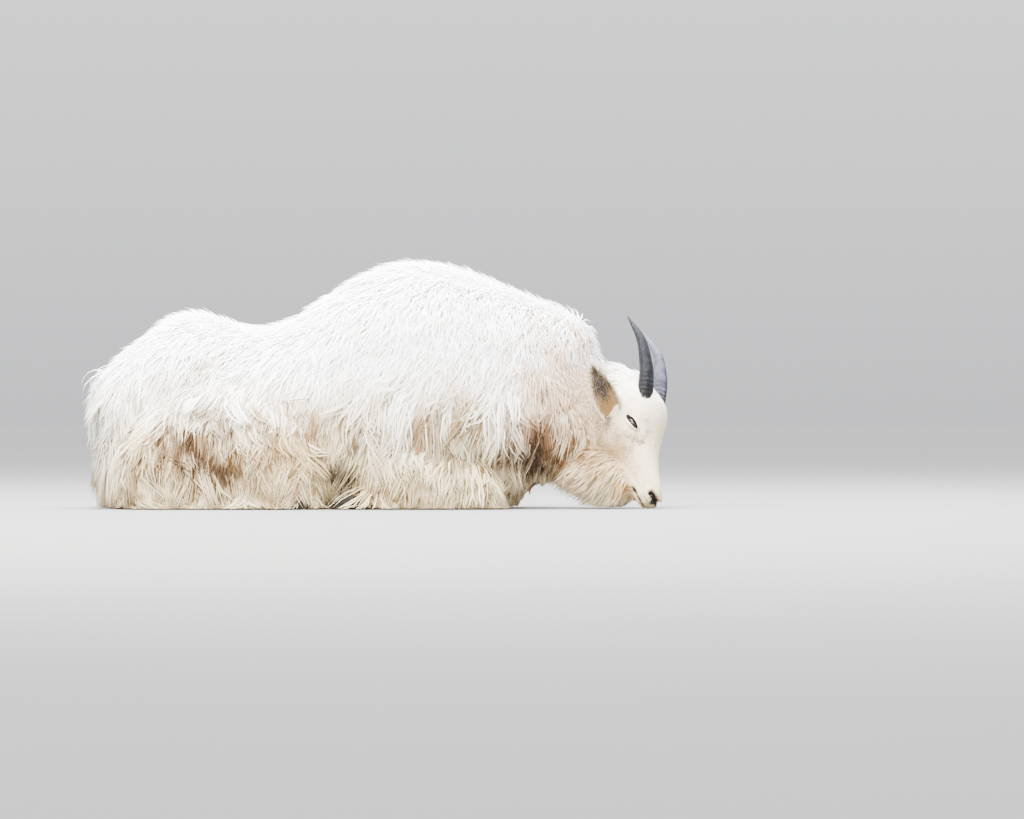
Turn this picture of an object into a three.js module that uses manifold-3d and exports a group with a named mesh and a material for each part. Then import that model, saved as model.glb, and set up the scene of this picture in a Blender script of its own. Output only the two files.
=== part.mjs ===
import * as THREE from 'three';
import { mergeVertices } from 'three/addons/utils/BufferGeometryUtils.js';
import Module from 'manifold-3d';

const wasm = await Module();
wasm.setup();

// A mountain goat that lies on its folded legs with its chin on the ground.
// Millimetres: +X to its head, +Y to its left, +Z up, the ground at z = 0.

const gap = 0.3; // between two pieces that touch
const sunk = -8; // lower edge of a form before the ground trims it to a flat

// The long coat: flat, tapered locks that rise from the core to the tips
const coatReach = 26; // from the core to the tips of the locks
const lock = { length: 188, width: 116, thick: 14, root: 13 };
const bodyLocks = { apart: 126, beside: 110, lowest: 0.36 };
const neckLocks = { apart: 86, beside: 92, lowest: 0.4, length: 138, width: 92 };
const legLocks = { apart: 112, beside: 104, lowest: 0.4, length: 146, width: 106 };
const lowestTip = 3; // a lock that would reach lower bends along the ground

// The trunk and neck, out to the tips of the coat: half width, and heights of back, widest level and belly
const trunkRows = [
  { along: -668, top: 366, level: 190, half: 172, bottom: sunk },
  { along: -620, top: 380, level: 190, half: 178, bottom: sunk },
  { along: -560, top: 412, level: 195, half: 184, bottom: sunk },
  { along: -500, top: 456, level: 200, half: 190, bottom: sunk },
  { along: -420, top: 472, level: 205, half: 196, bottom: sunk },
  { along: -300, top: 442, level: 210, half: 204, bottom: sunk },
  { along: -217, top: 451, level: 220, half: 210, bottom: sunk },
  { along: -107, top: 522, level: 235, half: 216, bottom: sunk },
  { along: 0, top: 574, level: 250, half: 218, bottom: sunk },
  { along: 100, top: 590, level: 255, half: 214, bottom: sunk },
  { along: 200, top: 573, level: 255, half: 204, bottom: sunk },
  { along: 300, top: 537, level: 255, half: 186, bottom: 4 },
  { along: 400, top: 498, level: 255, half: 152, bottom: 50 },
  { along: 460, top: 470, level: 245, half: 124, bottom: 60 },
  { along: 500, top: 442, level: 235, half: 96, bottom: 62 },
  { along: 535, top: 376, level: 220, half: 76, bottom: 66 },
  { along: 585, top: 300, level: 200, half: 56, bottom: 80 },
];
const neckStart = 325;
const underCheeks = 490; // from here on the hair of the cheeks covers the sides of the neck

const hindLeg = { middle: 156, rows: [
  { along: -600, top: 190, level: 100, half: 60, bottom: sunk },
  { along: -520, top: 252, level: 105, half: 76, bottom: sunk },
  { along: -420, top: 306, level: 110, half: 88, bottom: sunk },
  { along: -320, top: 318, level: 110, half: 92, bottom: sunk },
  { along: -220, top: 286, level: 105, half: 88, bottom: sunk },
  { along: -150, top: 214, level: 90, half: 74, bottom: sunk },
  { along: -114, top: 150, level: 70, half: 56, bottom: sunk },
] };
const foreLeg = { middle: 150, rows: [
  { along: -50, top: 190, level: 80, half: 62, bottom: sunk },
  { along: 20, top: 226, level: 90, half: 78, bottom: sunk },
  { along: 120, top: 206, level: 85, half: 82, bottom: sunk },
  { along: 220, top: 150, level: 66, half: 70, bottom: sunk },
  { along: 305, top: 104, level: 50, half: 56, bottom: sunk },
] };
const hindFoot = { heel: -216, middle: 196, forward: 1 };
const foreFoot = { heel: -38, middle: 178, forward: -1 };
const pastern = { length: 60, radius: 27, rise: 22, overHoof: 4 };
const hoof = { length: 66, height: 40, width: 24, between: 3 };

const tail = { root: 318, tip: 128, half: 46, depth: 26, back: -664, locks: 6, lockWidth: 46, lockThick: 10 };

// The head, from the tip of the nose at 0 up to the poll, with forehead and jaw measured from the bridge
// of the nose
const noseTip = new THREE.Vector3(660, -105, 24);
const headUp = new THREE.Vector3(0.08, 0.267, 0.96);
const headLeft = new THREE.Vector3(0.42, 0.87, -0.28);
const headRows = [
  { along: -20, top: -6, level: -30, half: 24, bottom: -56 },
  { along: 0, top: 0, level: -30, half: 26, bottom: -64 },
  { along: 30, top: -2, level: -38, half: 30, bottom: -84 },
  { along: 70, top: -12, level: -49, half: 35, bottom: -104 },
  { along: 110, top: -17, level: -60, half: 44, bottom: -122 },
  { along: 150, top: -14, level: -67, half: 55, bottom: -140 },
  { along: 190, top: -7, level: -73, half: 64, bottom: -156 },
  { along: 225, top: -10, level: -80, half: 68, bottom: -166 },
  { along: 260, top: -32, level: -92, half: 66, bottom: -172 },
  { along: 300, top: -64, level: -108, half: 58, bottom: -172 },
  { along: 330, top: -82, level: -120, half: 50, bottom: -168 },
];
const eye = { along: 171, up: -62, side: 55, half: 19, height: 7, depth: 15, slant: [-0.76, 0, 0.65] };
const lid = { above: 2.5, proud: 9, bent: 7, thin: 2, thick: 3.6 };
const horn = { radius: 19, sunk: 16, ridge: 0.9, steps: 12, path: [
  { along: 247, up: -44, side: 36 },
  { along: 280, up: -42, side: 39 },
  { along: 317, up: -44, side: 43 },
  { along: 376, up: -59, side: 49 },
  { along: 438, up: -100, side: 50 },
] };
const hornLengths = { right: 1, left: 0.93 };
const ear = { along: 203, up: -112, side: 79, length: 118, width: 58, cup: 18, thick: 4.5, sunkRoot: 28 };
const earWays = { reach: [0.62, 0.78, -0.08], open: [-0.55, 0.55, 0.6] };
const mouth = { lip: 5.5, groove: 3.4, beyond: 6, path: [
  { along: -21, up: -20, side: 0 },
  { along: -16, up: -30, side: 13 },
  { along: 0, up: -46, side: 24 },
  { along: 20, up: -58, side: 29 },
  { along: 44, up: -68, side: 33 },
] };
const nostril = { rim: 8, pocket: 6, beyond: 5, path: [
  { along: -14, up: -9, side: 8 },
  { along: -6, up: -4, side: 15 },
  { along: 5, up: -7, side: 21 },
] };

// The hair of throat and beard, which hangs behind the jaw to the ground, measured back from the nose
const throatRows = [
  { along: -232, top: 130, level: 92, half: 74, bottom: 62 },
  { along: -190, top: 136, level: 78, half: 80, bottom: 34 },
  { along: -150, top: 134, level: 66, half: 72, bottom: 18 },
  { along: -110, top: 116, level: 52, half: 56, bottom: 9 },
  { along: -72, top: 84, level: 38, half: 40, bottom: 5 },
  { along: -44, top: 50, level: 24, half: 26, bottom: 5 },
];
const throatLocks = {
  from: -176, to: -70, turns: [0.24, 0.44], apart: 52, beside: 56, length: 112, width: 70,
};
const cheekLocks = { rows: 4, from: 80, to: 196, turns: [0.3, 0.4], length: 132, width: 74 };
const beardLocks = { rows: 2, from: 12, apart: 26, length: 92, width: 44 };
const pollLocks = { from: 268, to: 300, turns: [-0.12, 0.12], apart: 32, beside: 40, length: 76, width: 42 };
const hangingThick = 11; // of a lock that hangs free

// Finishes
const coatFinish = new THREE.MeshStandardMaterial({ color: 0xf1ece2, roughness: 0.95, metalness: 0 });
const faceFinish = new THREE.MeshStandardMaterial({ color: 0xefe4d4, roughness: 0.9, metalness: 0 });
const earFinish = new THREE.MeshStandardMaterial({ color: 0xb99457, roughness: 0.85, metalness: 0 });
const hornFinish = new THREE.MeshStandardMaterial({ color: 0x5a5f69, roughness: 0.5, metalness: 0 });
const hoofFinish = new THREE.MeshStandardMaterial({ color: 0x2e2b29, roughness: 0.6, metalness: 0 });
const eyeFinish = new THREE.MeshStandardMaterial({ color: 0x17120e, roughness: 0.15, metalness: 0 });

const headFrame = new THREE.Matrix4().makeBasis(
  headUp.clone().normalize(),
  headLeft.clone().normalize().negate(),
  new THREE.Vector3().crossVectors(headLeft, headUp).normalize(),
).setPosition(noseTip);

// The throat's own frame: forward along the ground under the head, then across, then up
const headForward = new THREE.Vector3().crossVectors(headLeft, headUp).setZ(0).normalize();
const throatFrame = new THREE.Matrix4().makeBasis(
  headForward,
  new THREE.Vector3(-headForward.y, headForward.x, 0),
  new THREE.Vector3(0, 0, 1),
).setPosition(noseTip.x, noseTip.y, 0);

// A point of the head from its measures, with hand 1 for the goat's right and -1 for its left
function onHead({ along, up, side }, hand = 1) {
  return new THREE.Vector3(along, side * hand, up).applyMatrix4(headFrame);
}

// A closed geometry as a solid that can be joined and cut
function solidOf(geometry) {
  geometry.deleteAttribute('normal');
  geometry.deleteAttribute('uv');
  const welded = mergeVertices(geometry, 1e-4);
  return new wasm.Manifold(new wasm.Mesh({
    numProp: 3,
    vertProperties: new Float32Array(welded.attributes.position.array),
    triVerts: new Uint32Array(welded.index.array),
  }));
}

// A geometry from points and faces, turned so that the faces look out
function closedGeometry(points, faces) {
  let volume = 0;
  for (let i = 0; i < faces.length; i += 3) {
    const [a, b, c] = [0, 1, 2].map((k) => points[faces[i + k]]);
    volume += a.dot(new THREE.Vector3().crossVectors(b, c));
  }
  const outward = volume > 0 ? faces : faces.toReversed();
  const geometry = new THREE.BufferGeometry().setFromPoints(points);
  geometry.setIndex(outward);
  return geometry;
}

const middleOf = (points) =>
  points.reduce((sum, point) => sum.add(point), new THREE.Vector3()).divideScalar(points.length);

// The solid inside a row of rings, closed at each end by a fan round one point
function ringSolid(rings, start, end) {
  const sides = rings[0].length;
  const points = [start, ...rings.flat(), end];
  const faces = [];
  const corner = (ring, side) => 1 + ring * sides + (side % sides);
  for (let side = 0; side < sides; side++) {
    faces.push(0, corner(0, side + 1), corner(0, side));
    for (let ring = 0; ring < rings.length - 1; ring++) {
      faces.push(corner(ring, side), corner(ring, side + 1), corner(ring + 1, side + 1));
      faces.push(corner(ring, side), corner(ring + 1, side + 1), corner(ring + 1, side));
    }
    const last = rings.length - 1;
    faces.push(points.length - 1, corner(last, side), corner(last, side + 1));
  }
  return solidOf(closedGeometry(points, faces));
}

// The smooth run of a table's sizes along its form
function sizesAlong(rows) {
  const names = Object.keys(rows[0]).filter((name) => name !== 'along');
  const places = rows.map((row) => row.along);
  const values = rows.flatMap((row) => names.map((name) => row[name]));
  const run = new THREE.CubicInterpolant(places, values, names.length);
  return (along) => {
    const sizes = run.evaluate(along);
    return Object.fromEntries(names.map((name, i) => [name, sizes[i]]));
  };
}

// A rounded body form that follows a table of sizes. Turn 0 is its back, 0.25 its left, 0.5 its belly.
function makeForm({ rows, ends, middle = 0, frame = new THREE.Matrix4(), blunt = 2.8, soft = 0.9 }) {
  const first = rows[0].along;
  const last = rows.at(-1).along;
  const sizes = sizesAlong(rows);
  const roundOff = (depth) => {
    const left = THREE.MathUtils.clamp(1 - depth, 0, 1);
    return (1 - left ** blunt) ** (1 / blunt);
  };
  const endScale = (along) => roundOff((along - first) / ends[0]) * roundOff((last - along) / ends[1]);
  const local = (along, turn) => {
    const { top, level, half, bottom } = sizes(along);
    const scale = endScale(along);
    const [up, across] = [Math.cos(turn * 2 * Math.PI), Math.sin(turn * 2 * Math.PI)];
    const height = up > 0 ? top - level : level - bottom;
    const rise = Math.sign(up) * Math.abs(up) ** soft * height * scale;
    const reach = Math.sign(across) * Math.abs(across) ** soft * half * scale;
    return new THREE.Vector3(along, middle + reach, level + rise);
  };
  const outward = (along, turn) => {
    const step = 2;
    const inside = THREE.MathUtils.clamp(along, first + 0.5, last - 0.5);
    const before = Math.max(inside - step, first + 0.01);
    const after = Math.min(inside + step, last - 0.01);
    const forward = local(after, turn).sub(local(before, turn));
    const round = local(inside, turn + 0.01).sub(local(inside, turn - 0.01));
    return forward.cross(round).normalize();
  };
  const place = (along, turn, lift = 0) =>
    local(along, turn).addScaledVector(outward(along, turn), lift).applyMatrix4(frame);
  const pole = (along, lift) => {
    const beyond = along === first ? -lift : lift;
    return new THREE.Vector3(along + beyond, middle, sizes(along).level).applyMatrix4(frame);
  };
  // The places of the rings, closer together where an end rounds off
  const ringPlaces = (from, to, count, endCount) => {
    const places = [];
    const starts = from === first;
    const stops = to === last;
    const quarter = (k) => 1 - Math.cos((k / endCount) * Math.PI / 2);
    if (starts) {
      for (let k = 1; k < endCount; k++) places.push(first + ends[0] * quarter(k));
    }
    const openFrom = starts ? first + ends[0] : from;
    const openTo = stops ? last - ends[1] : to;
    for (let k = 0; k <= count; k++) places.push(THREE.MathUtils.lerp(openFrom, openTo, k / count));
    if (stops) {
      for (let k = endCount - 1; k > 0; k--) places.push(last - ends[1] * quarter(k));
    }
    return places;
  };
  // Whether a point lies inside the form
  const holds = (point) => {
    const { x, y, z } = point.clone().applyMatrix4(frame.clone().invert());
    if (x <= first || x >= last) return false;
    const { top, level, half, bottom } = sizes(x);
    const height = (z > level ? top - level : level - bottom) * endScale(x);
    const [up, across] = [(z - level) / height, (y - middle) / (half * endScale(x))];
    return Math.abs(up) ** (2 / soft) + Math.abs(across) ** (2 / soft) < 1;
  };
  // The form as a solid, whole or between two flat cuts, its coat taken off where it has one
  const solid = ({ coat = 0, from = first, to = last, count = 8, endCount = 4, sides = 20 }) => {
    const lift = -coat;
    const ringOf = (along) => Array.from({ length: sides }, (_, i) =>
      place(along, i / sides, -coatAt(i / sides, coat)));
    const rings = ringPlaces(from, to, count, endCount).map(ringOf);
    const start = from === first ? pole(first, lift) : middleOf(rings[0]);
    const end = to === last ? pole(last, lift) : middleOf(rings.at(-1));
    return ringSolid(rings, start, end);
  };
  return { place, holds, solid, first, last };
}

// The depth of the coat round a form, none where it is pressed to the ground
function coatAt(turn, depth) {
  return depth * THREE.MathUtils.clamp(2.2 * (1 + Math.cos(turn * 2 * Math.PI)), 0, 1);
}

// A solid round a curve, its radius given by a function and flattened in its own bend by a factor
function tubeSolid(points, radius, { steps = 8, sides = 8, flat = 1 }) {
  const curve = new THREE.CatmullRomCurve3(points);
  const frames = curve.computeFrenetFrames(steps, false);
  const rings = [];
  for (let i = 0; i <= steps; i++) {
    const size = radius(i / steps);
    const centre = curve.getPointAt(i / steps);
    rings.push(Array.from({ length: sides }, (_, k) => {
      const turn = (k / sides) * 2 * Math.PI;
      return centre.clone()
        .addScaledVector(frames.normals[i], Math.cos(turn) * size)
        .addScaledVector(frames.binormals[i], Math.sin(turn) * size * flat);
    }));
  }
  const start = curve.getPointAt(0).addScaledVector(frames.tangents[0], -radius(0) * 0.5);
  const end = curve.getPointAt(1).addScaledVector(frames.tangents[steps], radius(1) * 0.5);
  return ringSolid(rings, start, end);
}

// A thin curved wall on a grid of points, split into triangles alike on both faces
function wallSolid(front, back) {
  const [rows, columns] = [front.length, front[0].length];
  const points = [...front.flat(), ...back.flat()];
  const faces = [];
  const at = (row, column, face) => face * rows * columns + row * columns + column;
  const patch = (a, b, c, d) => faces.push(a, b, c, a, c, d);
  for (let row = 0; row < rows - 1; row++) {
    for (let column = 0; column < columns - 1; column++) {
      const [a, b, c, d] = [[0, 0], [1, 0], [1, 1], [0, 1]].map(([r, k]) => at(row + r, column + k, 0));
      const behind = rows * columns;
      patch(a, b, c, d);
      faces.push(a + behind, c + behind, b + behind, a + behind, d + behind, c + behind);
    }
    patch(at(row, 0, 0), at(row, 0, 1), at(row + 1, 0, 1), at(row + 1, 0, 0));
    const far = columns - 1;
    patch(at(row + 1, far, 0), at(row + 1, far, 1), at(row, far, 1), at(row, far, 0));
  }
  for (let column = 0; column < columns - 1; column++) {
    patch(at(0, column + 1, 0), at(0, column + 1, 1), at(0, column, 1), at(0, column, 0));
    const far = rows - 1;
    patch(at(far, column, 0), at(far, column, 1), at(far, column + 1, 1), at(far, column + 1, 0));
  }
  return solidOf(closedGeometry(points, faces));
}

const join = (solids) => solids.reduce((all, solid) => all.add(solid));

// The ground's own block, which trims each form to a flat at z = 0
const groundBlock = { length: 2400, width: 1600, depth: 200 };
const ground = solidOf(new THREE.BoxGeometry(groundBlock.length, groundBlock.width, groundBlock.depth)
  .translate(0, 0, -groundBlock.depth / 2));

// Only the largest closed surface of a solid, clear of the ground and of its neighbours
function finished(solid, neighbours = []) {
  const clear = [ground, ...neighbours].reduce((rest, other) => rest.subtract(other), solid);
  const bodies = clear.decompose();
  return bodies.reduce((best, body) => (body.volume() > best.volume() ? body : best));
}

// The same solid with each of its faces moved out by the gap, the room that a neighbour keeps to it
function roomFor(solid) {
  const geometry = bareGeometry(solid);
  const { position } = geometry.attributes;
  const corners = geometry.index.array;
  const points = Array.from({ length: position.count }, (_, i) =>
    new THREE.Vector3().fromBufferAttribute(position, i));
  const facing = points.map(() => []);
  for (let i = 0; i < corners.length; i += 3) {
    const face = [0, 1, 2].map((k) => corners[i + k]);
    const normal = new THREE.Triangle(...face.map((corner) => points[corner])).getNormal(new THREE.Vector3());
    face.forEach((corner) => facing[corner].push(normal));
  }
  points.forEach((point, i) => point.add(cornerShift(facing[i])));
  geometry.setFromPoints(points);
  return solidOf(geometry).add(solid);
}

// How a corner moves when each of the faces round it moves out by the gap
function cornerShift(normals) {
  const soft = 0.003 * normals.length; // keeps the shift short where the faces are nearly level
  const spread = new THREE.Matrix3().set(soft, 0, 0, 0, soft, 0, 0, 0, soft);
  const sum = new THREE.Vector3();
  for (const { x, y, z } of normals) {
    const products = [x * x, x * y, x * z, x * y, y * y, y * z, x * z, y * z, z * z];
    products.forEach((product, k) => { spread.elements[k] += product; });
    sum.add(new THREE.Vector3(x, y, z));
  }
  return sum.multiplyScalar(1.25 * gap).applyMatrix3(spread.invert()).clampLength(0, 14 * gap);
}

function bareGeometry(solid) {
  const { vertProperties, triVerts } = solid.getMesh();
  const geometry = new THREE.BufferGeometry();
  geometry.setAttribute('position', new THREE.BufferAttribute(vertProperties, 3));
  geometry.setIndex(new THREE.BufferAttribute(triVerts, 1));
  return geometry;
}

function meshOf(name, solid, material) {
  const geometry = bareGeometry(solid);
  geometry.computeVertexNormals();
  const mesh = new THREE.Mesh(geometry, material);
  mesh.name = name;
  return mesh;
}

const trunkForm = makeForm({ rows: trunkRows, ends: [110, 60] });
const headForm = makeForm({ rows: headRows, ends: [26, 60], frame: headFrame, blunt: 2.4, soft: 0.94 });

const throatForm = makeForm({ rows: throatRows, ends: [24, 18], frame: throatFrame });

// A random number from 0 to 1, the same on every run
let seed = 189;
function chance() {
  seed = (seed * 1664525 + 1013904223) % 4294967296;
  return seed / 4294967296;
}
const vary = (size, share) => size * (1 + share * (2 * chance() - 1));

// A piece of a node, with the room that its neighbours keep to it
const piece = (solid) => ({ solid, room: roomFor(solid) });

// The width and depth of a lock at each of its rings, in shares of its greatest
const bladeShape = [[0.74, 1], [1, 0.95], [0.78, 0.7]];

// A flat, tapered lock of three rings and a tip along a row of places, each with its outward way. None where
// it would fold over itself.
function lockPiece(centres, outwards, width, thick) {
  let side = null;
  const rings = bladeShape.map(([share, depth], i) => {
    const way = centres[i + 1].clone().sub(centres[Math.max(i - 1, 0)]);
    const across = new THREE.Vector3().crossVectors(outwards[i], way).normalize();
    side = side ? across.add(side).normalize() : across;
    const half = share * width / 2;
    const low = centres[i].clone().addScaledVector(outwards[i], -0.45 * depth * thick);
    return [
      low.clone().addScaledVector(side, -half),
      centres[i].clone().addScaledVector(outwards[i], 0.55 * depth * thick),
      low.addScaledVector(side, half),
    ];
  });
  const tip = centres.at(-1);
  const runsOn = rings.every((ring, i) => ring.every((corner, k) => {
    const next = (rings[i + 1]?.[k] ?? tip).clone().sub(corner);
    return next.dot(centres[i + 1].clone().sub(centres[i])) > 0;
  }));
  return runsOn ? [piece(ringSolid(rings, middleOf(rings[0]), tip))] : [];
}

// How far along a lock its rings and its tip stand, and how far each has risen through the coat
const lockShares = [0, 0.36, 0.72, 1];
const lockRises = [0, 0.56, 0.94, 1];

// A lock that lies along a form from a root, follows its lie and rises to the tips of the coat. None where
// the form turns too sharply for it.
function lockOn(form, root, lieOf, size = {}) {
  const { length = lock.length, width = lock.width, coat = coatReach, proud = 4, sink = lock.root } = size;
  const reach = vary(length, 0.18);
  const broad = vary(width, 0.15);
  const sway = 0.35 * (2 * chance() - 1);
  const over = proud + coat * 0.22 * (chance() - 0.5);
  const floor = lowestTip + 6 * chance();
  const at = { ...root };
  const centres = [];
  const outwards = [];
  lockShares.forEach((share, i) => {
    if (i > 0) stepAlong(form, at, lieOf(at), sway * i, reach * (share - lockShares[i - 1]));
    const depth = coatAt(at.turn, coat);
    const lift = -depth - sink + (depth + sink + over) * lockRises[i];
    const point = form.place(at.along, at.turn, lift);
    outwards.push(form.place(at.along, at.turn, lift + 1).sub(point).normalize());
    point.z = Math.max(point.z, floor);
    centres.push(point);
  });
  const straight = centres[0].distanceTo(centres.at(-1));
  return straight > 0.5 * reach ? lockPiece(centres, outwards, broad, lock.thick) : [];
}

// Moves a place along a form's surface in a given way, turned a little by the sway
function stepAlong(form, at, way, sway, distance) {
  const here = form.place(at.along, at.turn);
  const fore = form.place(at.along + 3, at.turn).sub(here).divideScalar(3);
  const round = form.place(at.along, at.turn + 0.01).sub(here).divideScalar(0.01);
  const outward = new THREE.Vector3().crossVectors(fore, round).normalize();
  const turned = way.clone().addScaledVector(new THREE.Vector3().crossVectors(outward, way), sway);
  const [a, b, c] = [fore.dot(fore), fore.dot(round), round.dot(round)];
  const [p, q] = [fore.dot(turned), round.dot(turned)];
  const [forward, around] = [(p * c - q * b) / (a * c - b * b), (q * a - p * b) / (a * c - b * b)];
  const moved = fore.multiplyScalar(forward).addScaledVector(round, around).length();
  const share = distance / Math.max(moved, 0.05);
  at.along = THREE.MathUtils.clamp(at.along + forward * share, form.first + 3, form.last - 3);
  at.turn += THREE.MathUtils.clamp(around * share, -0.2, 0.2);
}

// Locks in staggered rows over a form, between two places along it and out to the lowest turn on its sides
function coatLocks(form, { from, to, apart, beside, lowest, turns = [-lowest, lowest] }, lieOf, keep, size) {
  const locks = [];
  const rows = Math.max(1, Math.round((to - from) / apart));
  for (let row = 0; row <= rows; row++) {
    const along = THREE.MathUtils.lerp(from, to, row / rows);
    const [start, end] = turns;
    let arc = 0;
    for (let i = 0; i < 24; i++) {
      const [a, b] = [i, i + 1].map((k) => form.place(along, THREE.MathUtils.lerp(start, end, k / 24)));
      arc += a.distanceTo(b);
    }
    const count = Math.max(1, Math.round(arc / beside));
    for (let i = 0; i < count; i++) {
      const share = (i + 0.5 + (row % 2 ? 0.25 : -0.25) + 0.3 * (chance() - 0.5)) / count;
      const turn = THREE.MathUtils.lerp(start, end, share);
      const root = { along: along + 0.3 * apart * (chance() - 0.5), turn };
      if (keep(form.place(root.along, root.turn, -coatAt(root.turn, coatReach)), root)) {
        locks.push(...lockOn(form, root, lieOf, size));
      }
    }
  }
  return locks;
}

// The lie of the coat: back along the spine, and down the flanks
function bodyLie({ along, turn }) {
  const flank = Math.abs(Math.sin(turn * 2 * Math.PI));
  const rump = THREE.MathUtils.clamp((-480 - along) / 150, 0, 1);
  return new THREE.Vector3(-1 + 0.55 * flank + 0.3 * rump, 0, -0.2 - 1.2 * flank - 1.1 * rump);
}

function legLie() {
  return new THREE.Vector3(-0.35, 0, -1);
}

const legForms = Object.fromEntries([['fore', foreLeg], ['hind', hindLeg]].map(([place, leg]) =>
  [place, [1, -1].map((hand) => makeForm({ rows: leg.rows, ends: [70, 60], middle: leg.middle * hand }))]));

function torsoPieces() {
  const core = trunkForm.solid({ coat: coatReach, to: neckStart, count: 11, sides: 20 });
  const clearOfLegs = (point) => ![...legForms.fore, ...legForms.hind].some((form) => form.holds(point));
  const rows = { from: trunkForm.first + 22, to: neckStart - 12, ...bodyLocks };
  return [piece(core), ...coatLocks(trunkForm, rows, bodyLie, clearOfLegs)];
}

function neckPieces() {
  const core = trunkForm.solid({ coat: coatReach, from: neckStart, count: 3, sides: 20 });
  const clearOfHead = (point, { along, turn }) =>
    !headForm.holds(point) && (along < underCheeks || Math.abs(turn) < 0.2);
  const rows = { from: neckStart + 24, to: trunkForm.last - 26, ...neckLocks };
  return [piece(core), ...coatLocks(trunkForm, rows, bodyLie, clearOfHead, neckLocks)];
}

function tailPieces() {
  const { root, tip, half, depth, back, locks, lockWidth, lockThick } = tail;
  const middle = (root + tip) / 2;
  const spine = [
    new THREE.Vector3(back + 24, 0, root - 6),
    new THREE.Vector3(back + 6, 0, middle + 20),
    new THREE.Vector3(back + 8, 0, tip + 34),
  ];
  const radius = (run) => 0.62 * half * Math.sqrt(Math.max(0.04, 1 - (run * 1.5 - 0.55) ** 2));
  const core = tubeSolid(spine, radius, { steps: 4, sides: 8, flat: depth / half });
  const pieces = [piece(core)];
  for (let i = 0; i < locks; i++) {
    const lean = (i / (locks - 1)) * 2 - 1;
    const start = new THREE.Vector3(back + 14, lean * half * 0.3, root - 24 - 34 * (i % 2));
    const edge = Math.abs(lean);
    const end = new THREE.Vector3(back - 18 + 6 * edge, lean * half * 0.9, tip + 26 * edge - 8 * (i % 2));
    const outward = new THREE.Vector3(-1, 0.5 * lean, 0.1).normalize();
    const bulge = new THREE.Vector3(-16, lean * 8, 0);
    const centres = lockShares.map((share) =>
      start.clone().lerp(end, share).addScaledVector(bulge, Math.sin(Math.PI * share)));
    pieces.push(...lockPiece(centres, centres.map(() => outward), vary(lockWidth, 0.15), lockThick));
  }
  return pieces;
}

// A folded leg: its mass under locks, and the pastern that carries the hoof along the ground
function legPieces(place, foot, hand) {
  const form = legForms[place][hand > 0 ? 0 : 1];
  const side = foot.middle * hand;
  const start = foot.heel - foot.forward * pastern.length;
  const end = foot.heel - foot.forward * pastern.overHoof;
  const spine = [start, end].map((along) => new THREE.Vector3(along, side, pastern.rise));
  const mass = form.solid({ coat: coatReach, count: 4, endCount: 3, sides: 14 });
  const ankle = tubeSolid(spine, () => pastern.radius, { steps: 2, sides: 8 });
  const rows = {
    from: form.first + 40,
    to: form.last - 30,
    ...legLocks,
    turns: [0.02 * hand, legLocks.lowest * hand],
  };
  const outside = (point) => !trunkForm.holds(point) || Math.abs(point.y) > Math.abs(side);
  return [piece(mass), piece(ankle), ...coatLocks(form, rows, legLie, outside, legLocks)];
}

// One claw of a cloven hoof, flat below and rounded to the front
function clawSolid(foot, hand, inner) {
  const { length, height, width, between } = hoof;
  const side = foot.middle * hand + inner * (width + between) / 2;
  const rows = [0, 0.35, 0.75, 1].map((run) => ({
    along: run * length,
    top: height * (1 - 0.42 * run),
    level: height * 0.3,
    half: (width / 2) * (1 - 0.25 * run * run),
    bottom: sunk,
  }));
  const frame = new THREE.Matrix4().makeScale(foot.forward, 1, 1).setPosition(foot.heel, side, 0);
  const form = makeForm({ rows, ends: [8, 22], frame, blunt: 2.2 });
  return form.solid({ count: 1, endCount: 2, sides: 8 });
}

function hornSolid(hand, reach) {
  const [{ along: base }] = horn.path;
  const points = horn.path.map(({ along, ...rest }) =>
    onHead({ along: base + (along - base) * reach, ...rest }, hand));
  const down = points[0].clone().sub(points[1]).setLength(horn.sunk);
  points.unshift(points[0].clone().add(down));
  const { steps } = horn;
  const ridge = (run) => (run > 0.08 && run < 0.5 ? horn.ridge * Math.cos(run * steps * Math.PI) : 0);
  const radius = (run) => Math.max(0.6, horn.radius * (1 - run ** 1.9) ** 0.9 + ridge(run));
  return tubeSolid(points, radius, { steps, sides: 9 });
}

// The directions along an ear, across it and out of its cup
function earFrame(hand) {
  const base = onHead(ear, hand);
  const [reach, open] = [earWays.reach, earWays.open].map(([up, side, forward]) =>
    new THREE.Vector3(up, side * hand, forward).transformDirection(headFrame));
  const across = new THREE.Vector3().crossVectors(reach, open).normalize();
  const out = new THREE.Vector3().crossVectors(across, reach).normalize();
  return { base, reach, across, out };
}

// A leaf-shaped ear with a hollow cup, open to the front and side
function earSolid(hand) {
  const { base, reach, across, out } = earFrame(hand);
  const { length, width, cup, thick, sunkRoot } = ear;
  const swell = (run) => 0.58 + 0.42 * Math.sin(Math.PI * Math.min(1, run * 0.95 + 0.2)) ** 0.8;
  const point = (run) => Math.sqrt(Math.max(0.01, 1 - Math.max(0, (run - 0.5) / 0.5) ** 1.7));
  const leaf = (run) => 0.5 * width * swell(run) * point(run);
  const [rows, columns] = [6, 5];
  const sheet = (inset) => Array.from({ length: rows + 1 }, (_, i) => {
    const run = i / rows;
    const half = Math.max(leaf(run) - inset, 1);
    const deep = Math.max(cup * (1 - 0.75 * run) - inset, 1);
    const opening = Math.PI * THREE.MathUtils.lerp(1.25, 0.95, run);
    return Array.from({ length: columns + 1 }, (__, k) => {
      const turn = (k / columns - 0.5) * opening;
      return base.clone()
        .addScaledVector(reach, THREE.MathUtils.lerp(-sunkRoot, length, run))
        .addScaledVector(across, Math.sin(turn) * half)
        .addScaledVector(out, -Math.cos(turn) * deep);
    });
  });
  return wallSolid(sheet(0), sheet(thick));
}

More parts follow.
